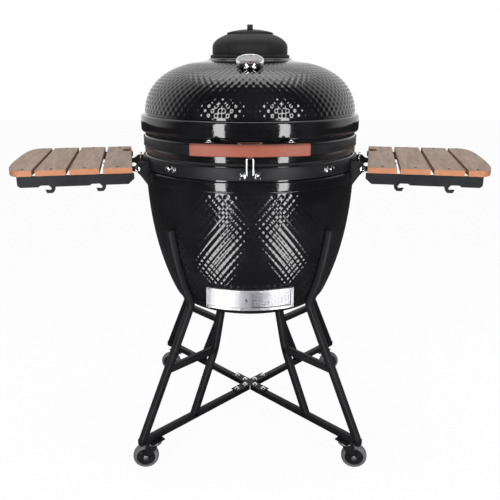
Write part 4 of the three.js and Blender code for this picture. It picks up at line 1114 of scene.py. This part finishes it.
def build_tables():
    """Brackets, frames and slats of the two side tables, with screws and chrome pins."""
    for side, sign in SIDES.items():
        dress(f"table_bracket_{side}", FINISH["coat"], 0.9 * MM)
        dress(f"table_frame_{side}", FINISH["coat"], 0.9 * MM)
        joint = JOINTS[f"table_{side}_fold"]
        pivot = Vector(joint["pos_m"])
        out = Vector((pivot.x, pivot.y, 0)).normalized()
        rear = Vector((-out.y, out.x, 0)) * sign
        bm = bmesh.new()
        slat_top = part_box(f"slat_{side}_1")[1].z
        for i in range(4):
            dress(f"slat_{side}_{i + 1}", FINISH[f"slat_{side}"], 2.2 * MM)
            reach = (352 + 83.5 * i + (37.5 if i < 3 else 24)) * MM
            for back in (-178 * MM, 222 * MM):
                spot = out * reach + rear * back + Vector((0, 0, slat_top - 0.4 * MM))
                dome_bolt(bm, spot, (0, 0, 1), 2.6 * MM, 0.9 * MM)
        make_piece(f"slat_screws_{side}", bm, FINISH["coat"], f"table_{side}")
        bm = bmesh.new()
        for end in (-1, 1):
            spot = out * 338 * MM + rear * end * 92 * MM + Vector((0, 0, pivot.z))
            hex_bolt(bm, spot - rear * end * 1.2 * MM, rear * end, 6.5 * MM, 3.4 * MM)
        for back in (-48 * MM,):
            foot = out * 327 * MM + rear * back + Vector((0, 0, 872 * MM))
            sweep(bm, [foot, foot + Vector((0, 0, 46 * MM))], round_section(2.3 * MM, 14), (1, 0, 0))
            dome_bolt(bm, foot + Vector((0, 0, 46 * MM)), (0, 0, 1), 4 * MM, 4 * MM)
            dome_bolt(bm, foot, (0, 0, -1), 4 * MM, 4 * MM)
        make_piece(f"table_pins_{side}", bm, FINISH["chrome"], "base")


# ---- stage ------------------------------------------------------------------------------------

def stage_surface(name, colour, shown):
    """A pale surface that the camera and reflections see as nearly white, with a faint shadow."""
    s = Shader(name)
    diffuse = s.node("ShaderNodeBsdfDiffuse", {}, {"Color": (*colour, 1)})
    glow = s.node("ShaderNodeEmission", {}, {"Color": (1, 1, 1, 1), "Strength": shown})
    camera = s.node("ShaderNodeLightPath", {}, {}, "Is Camera Ray")
    mirror = s.node("ShaderNodeLightPath", {}, {}, "Is Glossy Ray")
    # Painted shade: glossy rays see the floor as this dark grey, so reflections of the floor are darkened.
    dark = s.node("ShaderNodeBsdfDiffuse", {}, {"Color": (0.08, 0.08, 0.08, 1)})
    base = s.node("ShaderNodeMixShader", {}, {0: mirror, 1: diffuse, 2: dark})
    mixed = s.node("ShaderNodeMixShader", {}, {0: camera * 0.96, 1: base, 2: glow})
    s.node("ShaderNodeOutputMaterial", {}, {"Surface": mixed})
    return s.material


def add_softbox(name, place_at, aim, width, height, power):
    """A rectangular lamp that faces a point."""
    lamp = bpy.data.lights.new(name, "AREA")
    lamp.shape = "RECTANGLE"
    lamp.size = width
    lamp.size_y = height
    lamp.energy = power
    holder = bpy.data.objects.new(name, lamp)
    holder.location = place_at
    holder.rotation_euler = (Vector(aim) - Vector(place_at)).to_track_quat("-Z", "Y").to_euler()
    bpy.context.scene.collection.objects.link(holder)


def build_world():
    """White behind and beside the grill, dim in front of it, and an even light for matt surfaces."""
    world = bpy.data.worlds.new("studio")
    bpy.context.scene.world = world
    world.use_nodes = True
    s = Shader.__new__(Shader)
    s.material, s.tree = world, world.node_tree
    s.tree.nodes.clear()
    path = s.node("ShaderNodeLightPath", {}, {}, "Is Camera Ray")
    glossy = s.node("ShaderNodeLightPath", {}, {}, "Is Glossy Ray")
    through = s.node("ShaderNodeLightPath", {}, {}, "Is Transmission Ray")
    ray = s.node("ShaderNodeTexCoord", {}, {}, "Generated")
    back = s.node("ShaderNodeSeparateXYZ", {}, {0: ray}, 1).above(-0.25, 0.35)
    seen = path + glossy * (0.05 + back * 0.95) + through
    strength = seen + (1.0 - path - glossy - through) * 0.4
    background = s.node("ShaderNodeBackground", {}, {"Color": (1, 1, 1, 1), "Strength": strength})
    s.node("ShaderNodeOutputWorld", {}, {"Surface": background})


def build_stage(settings):
    """The floor, the studio lights and the camera."""
    scene = bpy.context.scene
    scene.view_settings.view_transform = "Standard"
    bm = bmesh.new()
    bmesh.ops.create_grid(bm, x_segments=1, y_segments=1, size=12.0)
    mesh = bpy.data.meshes.new("floor")
    bm.to_mesh(mesh)
    bm.free()
    floor = bpy.data.objects.new("floor", mesh)
    mesh.materials.append(stage_surface("pale_floor", (0.85, 0.85, 0.85), 1.0))
    scene.collection.objects.link(floor)
    build_world()
    for name, x in (("softbox_left", -1.2), ("softbox_right", 1.4)):
        add_softbox(name, (x, -2.2, 1.3), (0, 0, 1.3), 0.45, 2.4, settings.softbox)
    for name, x in (("floor_strip_left", -0.6), ("floor_strip_right", 0.72)):
        add_softbox(name, (x, -1.2, 0.03), (x, -1.2, 2), 0.3, 1.2, settings.strip)
    add_softbox("top_light", (0, 0.4, 3.4), (0, 0, 0.8), 2.4, 1.6, settings.fill)
    camera = bpy.data.cameras.new("camera")
    camera.lens = settings.lens
    camera.sensor_width = 36
    camera.dof.use_dof = False
    holder = bpy.data.objects.new("camera", camera)
    holder.location = (0, -settings.distance, settings.height)
    holder.rotation_euler = (pi / 2 - settings.pitch, 0, 0)
    scene.collection.objects.link(holder)
    scene.camera = holder


# ---- operators and panel ----------------------------------------------------------------------

def operator(key, label, doc, work):
    """An operator class that builds one group of pieces."""
    def execute(self, context):
        work(context.scene)
        return {"FINISHED"}
    return type(f"KAMADO_OT_{key}", (bpy.types.Operator,),
                {"__doc__": doc, "bl_idname": f"kamado.{key}", "bl_label": label, "execute": execute})


BUILDERS = [
    operator("bowl", "Bowl", "Turn the dimpled bowl.", lambda scene: build_bowl(scene.kamado_ceramic)),
    operator("lid", "Lid", "Turn the dimpled lid.", lambda scene: build_lid(scene.kamado_ceramic)),
    operator("bands", "Bands", "Roll the steel bands and lay the gaskets.",
             lambda scene: build_bands(scene.kamado_metal)),
    operator("inside", "Inside", "Set the liners and grates.", lambda scene: build_inside()),
    operator("handle", "Handle", "Shape the bar and fix its posts.", lambda scene: build_handle()),
    operator("thermometer", "Thermometer", "Fit the thermometer.",
             lambda scene: build_thermometer()),
    operator("damper", "Damper", "Cast the damper base, cap and wheel.",
             lambda scene: build_damper()),
    operator("hinge", "Hinge", "Fit the rear hinge.", lambda scene: build_hinge()),
    operator("latch", "Latch", "Fit the front latch and clamps.",
             lambda scene: build_latch(scene.kamado_metal)),
    operator("draft", "Draft slider", "Fit the draft slider.", lambda scene: build_draft()),
    operator("stand", "Stand", "Weld the stand.", lambda scene: build_stand(scene.kamado_stand)),
    operator("casters", "Casters", "Fit the casters.", lambda scene: build_casters()),
    operator("tables", "Side tables", "Fit the side tables.", lambda scene: build_tables()),
    operator("stage", "Stage", "Set the floor, lights and camera.",
             lambda scene: build_stage(scene.kamado_stage)),
]


class KAMADO_PT_panel(bpy.types.Panel):
    """Lists the builders of the grill."""

    bl_label = "Kamado"
    bl_idname = "KAMADO_PT_panel"
    bl_space_type = "VIEW_3D"
    bl_region_type = "UI"
    bl_category = "Kamado"

    def draw(self, context):
        for builder in BUILDERS:
            self.layout.operator(builder.bl_idname)


SETTINGS = {
    "kamado_ceramic": CeramicSettings,
    "kamado_metal": MetalSettings,
    "kamado_wood": WoodSettings,
    "kamado_stand": StandSettings,
    "kamado_stage": StageSettings,
}


def register():
    """Registers the settings, the builders and the panel."""
    for name, group in SETTINGS.items():
        bpy.utils.register_class(group)
        setattr(bpy.types.Scene, name, PointerProperty(type=group))
    for cls in [*BUILDERS, KAMADO_PT_panel]:
        bpy.utils.register_class(cls)


def unregister():
    """Removes everything that register added."""
    for cls in [KAMADO_PT_panel, *reversed(BUILDERS)]:
        bpy.utils.unregister_class(cls)
    for name, group in SETTINGS.items():
        delattr(bpy.types.Scene, name)
        bpy.utils.unregister_class(group)


def main():
    """Builds the grill and its stage, and writes both boxes."""
    register()
    FINISH.update(make_materials(bpy.context.scene))
    for builder in BUILDERS:
        getattr(bpy.ops.kamado, builder.bl_idname.split(".")[1])()


if __name__ == "__main__":
    main()
